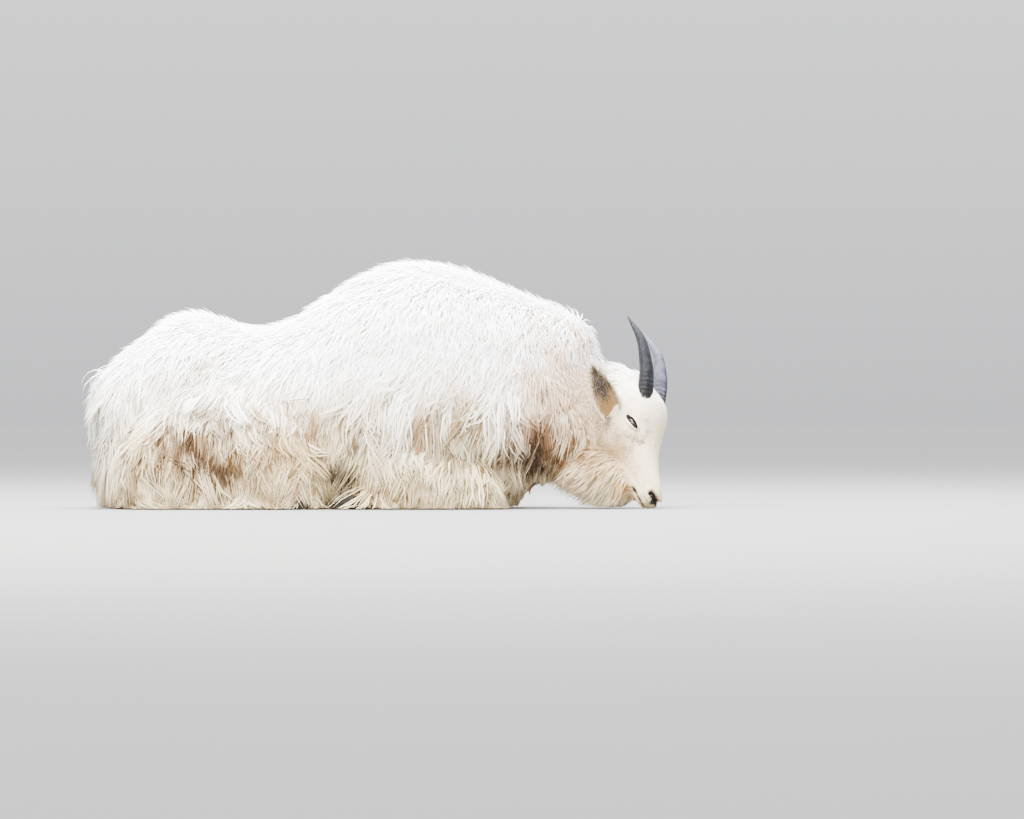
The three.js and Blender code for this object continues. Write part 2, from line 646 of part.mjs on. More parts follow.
// The directions along an eye's slit, across it and out of the head
function eyeFrame(hand) {
  const slant = new THREE.Vector3(...eye.slant).transformDirection(headFrame);
  const out = new THREE.Vector3(0.1, hand, 0.35).transformDirection(headFrame);
  const tall = new THREE.Vector3().crossVectors(out, slant).normalize();
  const facing = new THREE.Vector3().crossVectors(slant, tall).normalize();
  return { slant, tall, facing };
}

function eyeSolid(hand) {
  const { half, height, depth } = eye;
  const { slant, tall, facing } = eyeFrame(hand);
  const ball = new THREE.SphereGeometry(1, 10, 6).scale(half, height, depth);
  ball.applyMatrix4(new THREE.Matrix4().makeBasis(slant, tall, facing).setPosition(onHead(eye, hand)));
  return solidOf(ball);
}

// The upper and lower lid, two bent ridges that close on the eye
function lidSolids(hand) {
  const { half, height } = eye;
  const { slant, tall, facing } = eyeFrame(hand);
  const centre = onHead(eye, hand);
  return [1, -1].map((edge) => {
    const path = [-1.15, -0.6, 0, 0.6, 1.15].map((run) => centre.clone()
      .addScaledVector(slant, run * half)
      .addScaledVector(tall, edge * (height + lid.above) * Math.cos(run * 1.3))
      .addScaledVector(facing, lid.proud - lid.bent * run * run));
    return tubeSolid(path, (run) => lid.thin + lid.thick * Math.sin(Math.PI * run), { steps: 4, sides: 5 });
  });
}

// The line of the mouth on one side: a raised lip, and the groove that parts it
function lipPath(hand) {
  return mouth.path.map((point) => onHead(point, hand));
}

// A lock that hangs free from its root: it runs a given way, droops, and bends along the ground
function hangingLock(root, way, outward, length, width) {
  const reach = vary(length, 0.14);
  const lowest = lowestTip + 5 * chance();
  const centres = lockShares.map((share) => {
    const point = root.clone().addScaledVector(way, reach * share);
    point.z = Math.max(point.z - 0.14 * reach * share * share, lowest);
    return point;
  });
  return lockPiece(centres, centres.map(() => outward), vary(width, 0.15), hangingThick);
}

// The hair of the cheeks, which sweeps back from the jaw over the neck and throat
function cheekHair() {
  const { rows, from, to, turns, length, width } = cheekLocks;
  const locks = [];
  for (let row = 0; row < rows; row++) {
    for (const hand of [1, -1]) {
      const along = THREE.MathUtils.lerp(from, to, row / (rows - 1));
      const turn = turns[row % 2] + 0.03 * (chance() - 0.5);
      const root = headForm.place(along, turn * hand, -4);
      const outward = headForm.place(along, turn * hand, 6).sub(root).normalize();
      const way = new THREE.Vector3(-1, 0, -0.42 - 0.1 * chance()).addScaledVector(outward, 0.3).normalize();
      locks.push(...hangingLock(root, way, outward, length, width));
    }
  }
  return locks;
}

// The throat's locks lie back along its sides, and the beard's hang from the chin in pairs
function throatHair() {
  const backward = () => new THREE.Vector3(-1, 0, -0.3);
  const across = { ...throatLocks, turns: throatLocks.turns.map((turn) => -turn).toReversed() };
  const size = { ...throatLocks, coat: 0, proud: 10, sink: 8 };
  const locks = [throatLocks, across].flatMap((rows) =>
    coatLocks(throatForm, rows, backward, () => true, size));
  const { rows: pairs, from, apart, length, width } = beardLocks;
  for (let row = 0; row < pairs; row++) {
    for (const hand of [1, -1]) {
      const root = onHead({ along: from + row * apart, up: -66 - row * 8, side: 12 }, hand);
      const way = new THREE.Vector3(-1, 0.25 * hand, -0.3).normalize();
      const outward = new THREE.Vector3(0.2, -0.7 * hand, 0.7).normalize();
      locks.push(...hangingLock(root, way, outward, length, width));
    }
  }
  return locks;
}

// The tuft behind the horns
function pollHair() {
  const backward = () => new THREE.Vector3(-1, 0, -0.35);
  return coatLocks(headForm, pollLocks, backward, () => true, { ...pollLocks, coat: 6, proud: 14 });
}

function headPieces() {
  const skull = headForm.solid({ count: 10, sides: 20 });
  const throat = throatForm.solid({ count: 4, endCount: 2, sides: 14 });
  const pieces = [piece(skull), piece(throat), ...cheekHair(), ...throatHair(), ...pollHair()];
  for (const hand of [1, -1]) {
    const lips = tubeSolid(lipPath(hand), (run) => mouth.lip * (1.2 - 0.5 * run), { steps: 4, sides: 6 });
    const wing = nostril.path.map((point) => onHead(point, hand));
    const rim = tubeSolid(wing, () => nostril.rim, { steps: 2, sides: 7 });
    pieces.push(...[lips, rim, ...lidSolids(hand)].map(piece));
  }
  return pieces;
}

// What is cut out of the head: the line between the lips, and the nostrils
function headHollows() {
  return [1, -1].flatMap((hand) => {
    const outward = new THREE.Vector3(-0.1, hand, -0.1).transformDirection(headFrame);
    const groove = tubeSolid(
      lipPath(hand).map((point) => point.addScaledVector(outward, mouth.beyond)),
      (run) => mouth.groove - 1.6 * run, { steps: 4, sides: 4 });
    const hole = new THREE.Vector3(-0.7, 0.7 * hand, 0.5).transformDirection(headFrame);
    const pocket = tubeSolid(
      nostril.path.map((point) => onHead(point, hand).addScaledVector(hole, nostril.beyond)),
      (run) => nostril.pocket * (1 - 0.35 * run), { steps: 2, sides: 6 });
    return [groove, pocket];
  });
}

const sides = { right: 1, left: -1 };
const goat = new THREE.Group();

// Adds a node joined from its pieces and kept clear of its neighbours' pieces
function add(name, pieces, material, neighbours = [], hollows = []) {
  const whole = join(pieces.map(({ solid }) => solid));
  const cuts = [...neighbours.map(({ room }) => room), ...hollows];
  goat.add(meshOf(name, finished(whole, cuts), material));
}

const hands = Object.values(sides);
const horns = Object.entries(sides).map(([side, hand]) => piece(hornSolid(hand, hornLengths[side])));
const eyes = hands.map((hand) => piece(eyeSolid(hand)));
const ears = hands.map((hand) => piece(earSolid(hand)));
const head = headPieces();
const neck = neckPieces();
const torso = torsoPieces();

add('head', head, faceFinish, [...horns, ...eyes], headHollows());
add('neck', neck, coatFinish, [...head, ...ears]);
add('torso', torso, coatFinish, neck);
add('tail', tailPieces(), coatFinish, torso);

Object.entries(sides).forEach(([side, hand], i) => {
  add(`horn_${side}`, [horns[i]], hornFinish);
  add(`ear_${side}`, [ears[i]], earFinish, head);
  add(`eye_${side}`, [eyes[i]], eyeFinish);
  for (const [place, foot] of [['fore', foreFoot], ['hind', hindFoot]]) {
    const claws = { outer: piece(clawSolid(foot, -hand, -hand)), inner: piece(clawSolid(foot, -hand, hand)) };
    const inTheWay = [...torso, ...neck, ...Object.values(claws)];
    add(`leg_${place}_${side}`, legPieces(place, foot, -hand), coatFinish, inTheWay);
    for (const [edge, claw] of Object.entries(claws)) {
      add(`hoof_${place}_${side}_${edge}`, [claw], hoofFinish, torso);
    }
  }
});

export default goat;
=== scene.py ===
import math

import bpy
import numpy as np
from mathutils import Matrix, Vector
from mathutils.kdtree import KDTree


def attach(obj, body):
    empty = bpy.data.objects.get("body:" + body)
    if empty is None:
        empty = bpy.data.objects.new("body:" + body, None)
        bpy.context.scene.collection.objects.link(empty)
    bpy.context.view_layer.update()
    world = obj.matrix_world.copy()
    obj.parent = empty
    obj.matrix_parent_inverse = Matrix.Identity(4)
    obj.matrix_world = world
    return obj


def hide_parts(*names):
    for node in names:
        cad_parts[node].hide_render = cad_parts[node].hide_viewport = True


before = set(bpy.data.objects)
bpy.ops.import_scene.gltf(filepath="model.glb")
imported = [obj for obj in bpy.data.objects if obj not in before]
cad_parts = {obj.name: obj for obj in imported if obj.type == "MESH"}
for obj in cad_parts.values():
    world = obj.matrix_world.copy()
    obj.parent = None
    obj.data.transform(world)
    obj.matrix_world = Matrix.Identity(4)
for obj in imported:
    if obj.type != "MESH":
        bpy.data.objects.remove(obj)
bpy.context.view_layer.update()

# A mountain goat that lies on its folded legs with its chin on the ground.
# Metres: +X to its head, +Y to its left, +Z up, the floor at z = 0.

rng = np.random.default_rng(21)
# One side of the animal and the other, as a sign
hands = (1, -1)


# Small helpers

def unit(v):
    return v / np.maximum(np.linalg.norm(v, axis=-1, keepdims=True), 1e-9)


def square(way, axis):
    # a way turned square to an axis
    return unit(way - axis * np.einsum("ij,ij->i", way, axis)[:, None])


def ease(x, start, end):
    t = np.clip((x - start) / (end - start), 0, 1)
    return t * t * (3 - 2 * t)


def swell(away, reach):
    # 1 where the distance is nothing, and soon 0 past the reach
    return np.exp(-(away / reach) ** 2)


def blend(a, b, share):
    return a * (1 - share) + b * share


def summed(sizes, **shares):
    # a base size, with a share of each other size added
    return sizes["base"] + sum(sizes[name] * share for name, share in shares.items())


def waves(points, size, seed, count=5):
    # smooth noise from -1 to 1 at each point, made of a few crossed waves
    turns = np.random.default_rng(seed)
    total = np.zeros(len(points))
    for _ in range(count):
        way = unit(turns.normal(size=3)) * turns.uniform(0.7, 1.5) * 2 * math.pi / size
        total += np.sin(points @ way + turns.uniform(0, 2 * math.pi))
    return total / count * 1.4


def inScene(name, data):
    piece = bpy.data.objects.new(name, data)
    bpy.context.scene.collection.objects.link(piece)
    return piece


def meshPiece(name, verts, faces):
    mesh = bpy.data.meshes.new(name)
    mesh.from_pydata([tuple(v) for v in verts], [], [tuple(f) for f in faces])
    mesh.polygons.foreach_set("use_smooth", [True] * len(mesh.polygons))
    mesh.update()
    return inScene(name, mesh)


def dressed(piece, material):
    piece.data.materials.append(material)
    return piece


def tagPoints(mesh, facts):
    # numbers at each point, which the shader reads by name
    for key, values in facts.items():
        mesh.attributes.new(key, "FLOAT", "POINT").data.foreach_set("value", np.array(values, np.float32))


def ringFaces(count, sides):
    # quads between rings of points, with a fan round a last point at each end
    faces = []
    start, end = count * sides, count * sides + 1
    for ring in range(count - 1):
        for k in range(sides):
            a, b = ring * sides + k, ring * sides + (k + 1) % sides
            faces.append((a, b, b + sides, a + sides))
    last = (count - 1) * sides
    for k in range(sides):
        faces.append((start, (k + 1) % sides, k))
        faces.append((end, last + k, last + (k + 1) % sides))
    return faces


def ringPiece(name, rings, start, end):
    rings = np.asarray(rings)
    count, sides, _ = rings.shape
    verts = list(rings.reshape(-1, 3)) + [start, end]
    piece = meshPiece(name, verts, ringFaces(count, sides))
    faceOut(piece)
    return piece


def faceOut(piece):
    # turns the faces outward when the closed mesh came out inside out
    mesh = piece.data
    verts, _ = readVerts(mesh)
    mesh.calc_loop_triangles()
    tris = np.empty(len(mesh.loop_triangles) * 3, int)
    mesh.loop_triangles.foreach_get("vertices", tris)
    a, b, c = (verts[tris.reshape(-1, 3)[:, k]] for k in range(3))
    if np.einsum("ij,ij->i", a, np.cross(b, c)).sum() < 0:
        mesh.flip_normals()


def readVerts(mesh):
    verts = np.empty(len(mesh.vertices) * 3)
    normals = np.empty(len(mesh.vertices) * 3)
    mesh.vertices.foreach_get("co", verts)
    mesh.vertex_normals.foreach_get("vector", normals)
    return verts.reshape(-1, 3), normals.reshape(-1, 3)


def writeVerts(mesh, verts):
    mesh.vertices.foreach_set("co", np.asarray(verts, float).ravel())
    mesh.update()


def joined(name, parts):
    keep = parts[0]
    with bpy.context.temp_override(active_object=keep, object=keep,
                                   selected_objects=parts, selected_editable_objects=parts):
        bpy.ops.object.join()
    keep.name = name
    keep.data.name = name
    return keep


def applied(piece, kind, **settings):
    modifier = piece.modifiers.new(kind, kind)
    for key, value in settings.items():
        setattr(modifier, key, value)
    graph = bpy.context.evaluated_depsgraph_get()
    mesh = bpy.data.meshes.new_from_object(piece.evaluated_get(graph))
    piece.modifiers.clear()
    old = piece.data
    piece.data = mesh
    bpy.data.meshes.remove(old)
    mesh.name = piece.name
    return piece


def smoothPath(points, count, steps=24):
    # an even run of points along a smooth curve through the given ones
    points = np.asarray(points, float)
    grown = np.vstack([2 * points[0] - points[1], points, 2 * points[-1] - points[-2]])
    fine = []
    for i in range(len(points) - 1):
        a, b, c, d = grown[i:i + 4]
        for t in np.linspace(0, 1, steps, endpoint=False):
            fine.append(0.5 * (2 * b + (c - a) * t + (2 * a - 5 * b + 4 * c - d) * t * t
                               + (3 * b - a - 3 * c + d) * t ** 3))
    fine.append(points[-1])
    fine = np.array(fine)
    run = np.concatenate([[0], np.cumsum(np.linalg.norm(np.diff(fine, axis=0), axis=1))])
    places = np.linspace(0, run[-1], count)
    return np.column_stack([np.interp(places, run, fine[:, k]) for k in range(3)])


def tubeRings(path, radius, sides, flat=1, upright=(0, 0, 1)):
    # rings round a path, flattened by a factor along the upright way
    ways = unit(np.gradient(path, axis=0))
    across = unit(np.cross(ways, np.asarray(upright, float)))
    tall = np.cross(across, ways)
    turns = np.arange(sides) / sides * 2 * math.pi
    radius = np.asarray(radius, float).reshape(-1, 1, 1)
    spread = (np.cos(turns)[None, :, None] * across[:, None, :]
              + flat * np.sin(turns)[None, :, None] * tall[:, None, :])
    return path[:, None, :] + radius * spread


def nearestOf(places, points):
    # the number of the place that lies nearest each point
    tree = KDTree(len(places))
    for i, place in enumerate(places):
        tree.insert(place, i)
    tree.balance()
    return np.array([tree.find(point)[1] for point in points])


# The body's forms, out to the tips of the coat: along, top, widest level, half width and bottom

# The forms go a little below the floor, where the skin is pressed flat
sunk = -0.008

trunk = {"ends": (0.110, 0.060), "middle": 0.0, "rows": [
    (-0.668, 0.366, 0.190, 0.172, sunk), (-0.620, 0.380, 0.190, 0.178, sunk),
    (-0.560, 0.412, 0.195, 0.184, sunk), (-0.500, 0.456, 0.200, 0.190, sunk),
    (-0.420, 0.472, 0.205, 0.196, sunk), (-0.300, 0.442, 0.210, 0.204, sunk),
    (-0.217, 0.451, 0.220, 0.210, sunk), (-0.107, 0.522, 0.235, 0.216, sunk),
    (0.000, 0.574, 0.250, 0.218, sunk), (0.100, 0.590, 0.255, 0.214, sunk),
    (0.200, 0.573, 0.255, 0.204, sunk), (0.300, 0.537, 0.255, 0.186, 0.004),
    (0.400, 0.498, 0.255, 0.152, 0.050), (0.460, 0.476, 0.245, 0.124, 0.060),
    (0.500, 0.456, 0.235, 0.096, 0.062), (0.532, 0.372, 0.220, 0.074, 0.066),
    (0.585, 0.300, 0.200, 0.056, 0.080)]}
hindLeg = {"ends": (0.070, 0.060), "middle": 0.156, "rows": [
    (-0.600, 0.190, 0.100, 0.060, sunk), (-0.520, 0.252, 0.105, 0.076, sunk),
    (-0.420, 0.306, 0.110, 0.088, sunk), (-0.320, 0.318, 0.110, 0.092, sunk),
    (-0.220, 0.286, 0.105, 0.088, sunk), (-0.150, 0.214, 0.090, 0.074, sunk),
    (-0.114, 0.150, 0.070, 0.056, sunk)]}
foreLeg = {"ends": (0.070, 0.060), "middle": 0.150, "rows": [
    (-0.050, 0.190, 0.080, 0.062, sunk), (0.020, 0.226, 0.090, 0.078, sunk),
    (0.120, 0.206, 0.085, 0.082, sunk), (0.220, 0.150, 0.066, 0.070, sunk),
    (0.305, 0.104, 0.050, 0.056, sunk)]}
# How deep the skin lies under the tips of the coat
skinDepth = {"body": 0.030, "feet": 0.006, "head": 0.002}

# The head's own frame: along from the tip of the nose to the poll, right, and up from the bridge of the nose
noseTip = np.array([0.660, -0.105, 0.024])
headAlong = unit(np.array([0.08, 0.267, 0.96]))
headRight = -unit(np.array([0.42, 0.87, -0.28]))
headFront = unit(np.cross(-headRight, headAlong))
headRight = np.cross(headFront, headAlong)
headTurn = np.array([headAlong, headRight, headFront])


def onHead(along, up, side, hand=1):
    return noseTip + np.array([along, side * hand, up]) @ headTurn


def toHead(points):
    return (np.asarray(points) - noseTip) @ headTurn.T


def wayOnHead(along, side, up):
    return unit(np.array([along, side, up], float) @ headTurn)


throatForward = unit(headFront * (1, 1, 0))
throatTurn = np.array([throatForward, (-throatForward[1], throatForward[0], 0), (0, 0, 1)])
throatStart = noseTip * (1, 1, 0)


def onThroat(points):
    return throatStart + np.asarray(points) @ throatTurn


def toThroat(points):
    return (np.asarray(points) - throatStart) @ throatTurn.T


head = {"ends": (0.026, 0.060), "rows": [
    (-0.020, -0.006, -0.030, 0.024, -0.056), (0.000, 0.000, -0.030, 0.026, -0.064),
    (0.030, -0.002, -0.038, 0.030, -0.084), (0.070, -0.012, -0.049, 0.035, -0.104),
    (0.110, -0.017, -0.060, 0.044, -0.122), (0.150, -0.014, -0.067, 0.055, -0.140),
    (0.190, -0.007, -0.073, 0.064, -0.156), (0.225, -0.010, -0.080, 0.068, -0.166),
    (0.258, -0.033, -0.092, 0.064, -0.172), (0.292, -0.066, -0.108, 0.056, -0.172),
    (0.311, -0.084, -0.120, 0.048, -0.168)]}
# The throat under its hair, measured back from the nose along the ground
throat = {"ends": (0.024, 0.018), "rows": [
    (-0.222, 0.150, 0.104, 0.052, 0.086), (-0.190, 0.140, 0.096, 0.060, 0.064),
    (-0.150, 0.134, 0.086, 0.056, 0.050), (-0.110, 0.116, 0.070, 0.042, 0.036),
    (-0.072, 0.090, 0.052, 0.026, 0.024), (-0.050, 0.066, 0.042, 0.016, 0.020)]}


def rowSizes(rows, places):
    # the smooth run of a table's sizes along its form
    rows = np.array(rows)
    slopes = np.gradient(rows[:, 1:], rows[:, 0], axis=0)
    at = np.clip(np.searchsorted(rows[:, 0], places) - 1, 0, len(rows) - 2)
    step = (rows[at + 1, 0] - rows[at, 0])[:, None]
    t = ((places - rows[at, 0])[:, None]) / step
    start, end = rows[at, 1:], rows[at + 1, 1:]
    return ((2 * t ** 3 - 3 * t ** 2 + 1) * start + (t ** 3 - 2 * t ** 2 + t) * step * slopes[at]
            + (3 * t ** 2 - 2 * t ** 3) * end + (t ** 3 - t ** 2) * step * slopes[at + 1])

def formRings(form, count, sides, middle=0.0, blunt=2.8, soft=0.9):
    # the rings of a rounded form, closer together near its ends, and the points that close them
    rows = form["rows"]
    first, last = rows[0][0], rows[-1][0]
    places = first + (last - first) * (0.5 - 0.5 * np.cos(np.linspace(0.04, 1, count) * math.pi * 0.985))
    top, level, half, bottom = rowSizes(rows, places).T

    def rounded(depth):
        return (1 - np.clip(1 - depth, 0, 1) ** blunt) ** (1 / blunt)

    scale = rounded((places - first) / form["ends"][0]) * rounded((last - places) / form["ends"][1])
    turns = np.arange(sides) / sides * 2 * math.pi
    up, across = np.cos(turns), np.sin(turns)
    height = np.where(up[None, :] > 0, (top - level)[:, None], (level - bottom)[:, None])
    rise = np.sign(up) * np.abs(up) ** soft * height * scale[:, None]
    reach = np.sign(across) * np.abs(across) ** soft * half[:, None] * scale[:, None]
    along = np.broadcast_to(places[:, None], rise.shape)
    rings = np.stack([along, middle + reach, level[:, None] + rise], -1)
    start = np.array([first, middle, level[0]])
    end = np.array([last, middle, level[-1]])
    return rings, start, end


def formPiece(name, form, hand=1, count=48, sides=48):
    return ringPiece(name, *formRings(form, count, sides, form["middle"] * hand))


# The skin

bodySkin = {"voxel": 0.0085, "smooth": 14, "smoothAgain": 4, "floor": 0.003}
headSkin = {"voxel": 0.0026, "smooth": 3}
# Each foot: its heel, its distance from the middle, and which way it points
foot = {"hind": (-0.216, 0.196, 1), "fore": (-0.038, 0.178, -1), "pastern": 0.060, "radius": 0.025}
tail = {"root": 0.318, "tip": 0.128, "half": 0.030, "back": -0.664}

eye = {"along": 0.171, "up": -0.062, "side": 0.055, "half": 0.019, "height": 0.0050, "depth": 0.015}
# The lines of the face, along and up on the head and carried sideways to the skin
faceLines = {"mouth": [(-0.018, -0.036), (-0.010, -0.041), (0.004, -0.049), (0.022, -0.060), (0.046, -0.073)],
             "nostril": [(0.005, -0.0155), (-0.001, -0.0120), (-0.007, -0.0105), (-0.013, -0.0120)],
             "crease": [(0.148, -0.082), (0.136, -0.076), (0.124, -0.066)]}
# The ridges and grooves along them: how far out, how far from the line, and the reach
lineForms = {"mouth": [(0.0024, 0.006, 0.0035), (-0.0046, 0, 0.0028)],
             "nostril": [(0.0026, 0.011, 0.0040), (-0.0095, 0, 0.0062)],
             "crease": [(-0.0016, 0, 0.0040)]}
# How far into the head each line's dark, bare skin goes
lineDepths = {"mouth": 0.004, "nostril": 0.011}
# Each line on the head's own surface, and the way into the head there
traced, inward = {}, {}
# Soft swellings and hollows of the head: along, up, side, radius, and how far out
headSwells = [
    (0.188, -0.046, 0.052, 0.026, 0.0050), (0.150, -0.074, 0.054, 0.024, 0.0040),
    (0.171, -0.061, 0.062, 0.018, -0.0030), (0.122, -0.052, 0.044, 0.030, -0.0030),
    (0.196, -0.108, 0.066, 0.030, -0.0035), (0.090, -0.070, 0.034, 0.034, -0.0035),
    (0.000, -0.010, 0.018, 0.016, 0.0025), (0.006, -0.038, 0.026, 0.016, 0.0025),
    (0.010, -0.070, 0.012, 0.020, 0.0030), (0.252, -0.034, 0.036, 0.026, 0.0050)]


def pathDistance(points, path):
    # how far each point lies from a line of points
    best = np.full(len(points), 1e9)
    for a, b in zip(path[:-1], path[1:]):
        way = b - a
        share = np.clip(((points - a) @ way) / (way @ way), 0, 1)
        best = np.minimum(best, np.linalg.norm(points - a - share[:, None] * way, axis=1))
    return best


def traceFaceLines(piece, beside=0.15):
    for name, line in faceLines.items():
        for hand in hands:
            points, out = [], []
            for along, up in line:
                hit, place, normal, _ = piece.ray_cast(onHead(along, up, beside, hand), -headRight * hand)
                points.append(np.array(place) if hit else onHead(along, up, 0.0, hand))
                out.append(np.array(normal) if hit else headRight * hand)
            traced[name, hand] = smoothPath(points, 30)
            inward[name, hand] = -unit(np.mean(out, axis=0))


def nearLine(points, name, hand):
    # how far each point lies from a line of the face, or from the same line further in
    line = traced[name, hand]
    deeper = line + inward[name, hand] * lineDepths[name]
    return np.minimum(pathDistance(points, line), pathDistance(points, deeper))


def shapedHead(piece):
    traceFaceLines(piece)
    verts, normals = readVerts(piece.data)
    for along, up, side, radius, push in headSwells:
        for hand in hands:
            away = np.linalg.norm(verts - onHead(along, up, side, hand), axis=1)
            verts = verts + normals * (push * swell(away, radius / 1.5))[:, None]
    for hand in hands:
        for name, forms in lineForms.items():
            away = pathDistance(verts, traced[name, hand])
            push = sum(height * swell(away - beside, reach) for height, beside, reach in forms)
            verts = verts + normals * push[:, None]
    writeVerts(piece.data, verts)
    return piece


def coatDepth(points):
    return blend(skinDepth["feet"], skinDepth["body"], ease(points[:, 2], 0.0, 0.05))


def ankle(place, hand):
    heel, middle, forward = foot[place]
    path = smoothPath([(heel - forward * (foot["pastern"] + 0.03), middle * hand, 0.034),
                       (heel - forward * 0.03, middle * hand, 0.030),
                       (heel + forward * 0.004, middle * hand, 0.024)], 12)
    return ringPiece("ankle", tubeRings(path, np.full(len(path), foot["radius"]), 16), path[0], path[-1])


def tailPiece(steps=16):
    path = smoothPath([(tail["back"] + 0.044, 0, tail["root"]), (tail["back"] + 0.022, 0, 0.25),
                       (tail["back"] + 0.024, 0, tail["tip"] + 0.05)], steps)
    radius = tail["half"] * np.sqrt(np.clip(1 - (np.linspace(0, 1.1, steps) - 0.35) ** 2 * 1.4, 0.04, 1))
    return ringPiece("tail", tubeRings(path, radius, 16, 0.6, (0, 1, 0)), path[0], path[-1])


def remeshed(piece, voxel, rounds):
    # one closed mesh round all that the piece holds, smoothed
    piece = applied(piece, "REMESH", mode="VOXEL", voxel_size=voxel)
    return applied(piece, "SMOOTH", factor=0.5, iterations=rounds)


def makeBody():
    parts = [formPiece("trunk", trunk, count=80, sides=64)]
    for hand in hands:
        parts.append(formPiece("thigh", hindLeg, hand))
        parts.append(formPiece("forearm", foreLeg, hand))
    body = remeshed(joined("body", parts), bodySkin["voxel"], bodySkin["smooth"])
    verts, normals = readVerts(body.data)
    verts = verts - normals * coatDepth(verts)[:, None]
    verts[:, 2] = np.maximum(verts[:, 2], bodySkin["floor"])
    writeVerts(body.data, verts)
    extra = [ankle(place, hand) for place in ("hind", "fore") for hand in hands]
    extra.append(tailPiece())
    extra.append(ringPiece("throat", *(onThroat(part) for part in formRings(throat, 40, 40))))
    return remeshed(joined("body", [body] + extra), bodySkin["voxel"], bodySkin["smoothAgain"])


def makeHead():
    rings = formRings(head, 70, 64, blunt=2.4, soft=0.94)
    core = ringPiece("face", *(noseTip + part @ headTurn for part in rings))
    core = remeshed(core, headSkin["voxel"], headSkin["smooth"])
    verts, normals = readVerts(core.data)
    writeVerts(core.data, verts - normals * skinDepth["head"])
    return shapedHead(core)


def makeSkin():
    body, face = makeBody(), makeHead()
    print("body", len(body.data.polygons), "head", len(face.data.polygons))
    skin = applied(body, "BOOLEAN", operation="UNION", object=face, solver="MANIFOLD")
    bpy.data.objects.remove(face)
    skin.data.polygons.foreach_set("use_smooth", [True] * len(skin.data.polygons))
    return skin


# Shader maths

def colour(code):
    # a screen colour such as "f4efe6" as the shader's own linear numbers
    parts = [int(code[i:i + 2], 16) / 255 for i in (0, 2, 4)]
    return tuple(c / 12.92 if c < 0.04045 else ((c + 0.055) / 1.055) ** 2.4 for c in parts) + (1.0,)


class Link:
    # an output socket whose sums add Math nodes to its shader
    def __init__(self, shader, socket):
        self.shader, self.socket = shader, socket

    def maths(self, operation, *values):
        return self.shader.node("ShaderNodeMath", {"operation": operation}, dict(enumerate(values)))

    def __add__(self, other):
        return self.maths("ADD", self, other)

    def __sub__(self, other):
        return self.maths("SUBTRACT", self, other)

    def __rsub__(self, other):
        return self.maths("SUBTRACT", other, self)

    def __mul__(self, other):
        return self.maths("MULTIPLY", self, other)

    def __pow__(self, other):
        return self.maths("POWER", self, other)

    def larger(self, other):
        return self.maths("MAXIMUM", self, other)

    __radd__ = __add__
    __rmul__ = __mul__

    def between(self, low, high):
        # 0 below low and 1 above high, or the other way round, with a soft step
        return self.shader.node("ShaderNodeMapRange", {"interpolation_type": "SMOOTHSTEP"},
                                {"Value": self, "From Min": low, "From Max": high})


class Shader:
    # the nodes of a material or of the world; a shade in them is a screen colour's code
    def __init__(self, holder):
        holder.use_nodes = True
        self.holder, self.tree = holder, holder.node_tree
        self.surface = self.tree.nodes.get("Principled BSDF") or self.tree.nodes["Background"]

    def node(self, kind, settings=None, values=None, output=0):
        made = self.tree.nodes.new(kind)
        for key, value in (settings or {}).items():
            setattr(made, key, value)
        for key, value in (values or {}).items():
            self.feed(made.inputs[key], value)
        return Link(self, made.outputs[output])

    def feed(self, socket, value):
        if isinstance(value, Link):
            self.tree.links.new(value.socket, socket)
        else:
            socket.default_value = colour(value) if isinstance(value, str) else value

    def set(self, **values):
        for key, value in values.items():
            self.feed(self.surface.inputs[key.replace("_", " ")], value)
        return self.holder

    def mix(self, share, a, b, kind="MIX"):
        return self.node("ShaderNodeMix", {"data_type": "RGBA", "blend_type": kind},
                         {0: share, 6: a, 7: b}, output=2)

    def vector(self, operation, *values):
        output = 1 if operation == "LENGTH" else 0
        return self.node("ShaderNodeVectorMath", {"operation": operation}, dict(enumerate(values)), output)

    def noise(self, place, scale, detail=3.0, output=0):
        # a tuple as the scale stretches the noise
        if isinstance(scale, tuple):
            place, scale = self.vector("MULTIPLY", place, scale), 1.0
        values = {"Vector": place, "Scale": scale, "Detail": detail}
        return self.node("ShaderNodeTexNoise", {}, values, output)

    def place(self):
        # metres on the animal
        return self.node("ShaderNodeTexCoord", output=3)

    def part(self, place, axis):
        return self.node("ShaderNodeSeparateXYZ", {}, {"Vector": place}, output=axis)

    def attribute(self, name):
        return self.node("ShaderNodeAttribute", {"attribute_name": name}, output=2)

    def bump(self, height, distance, strength=1.0):
        return self.node("ShaderNodeBump", {}, {"Height": height, "Distance": distance, "Strength": strength})


# The coat's colours, markings and painted shade, shared by the skin and all its hair

coatShades = {"white": "fefefe", "cream": "cebc92", "low": "a08d6a", "dark": "120d0b", "lip": "33221a"}
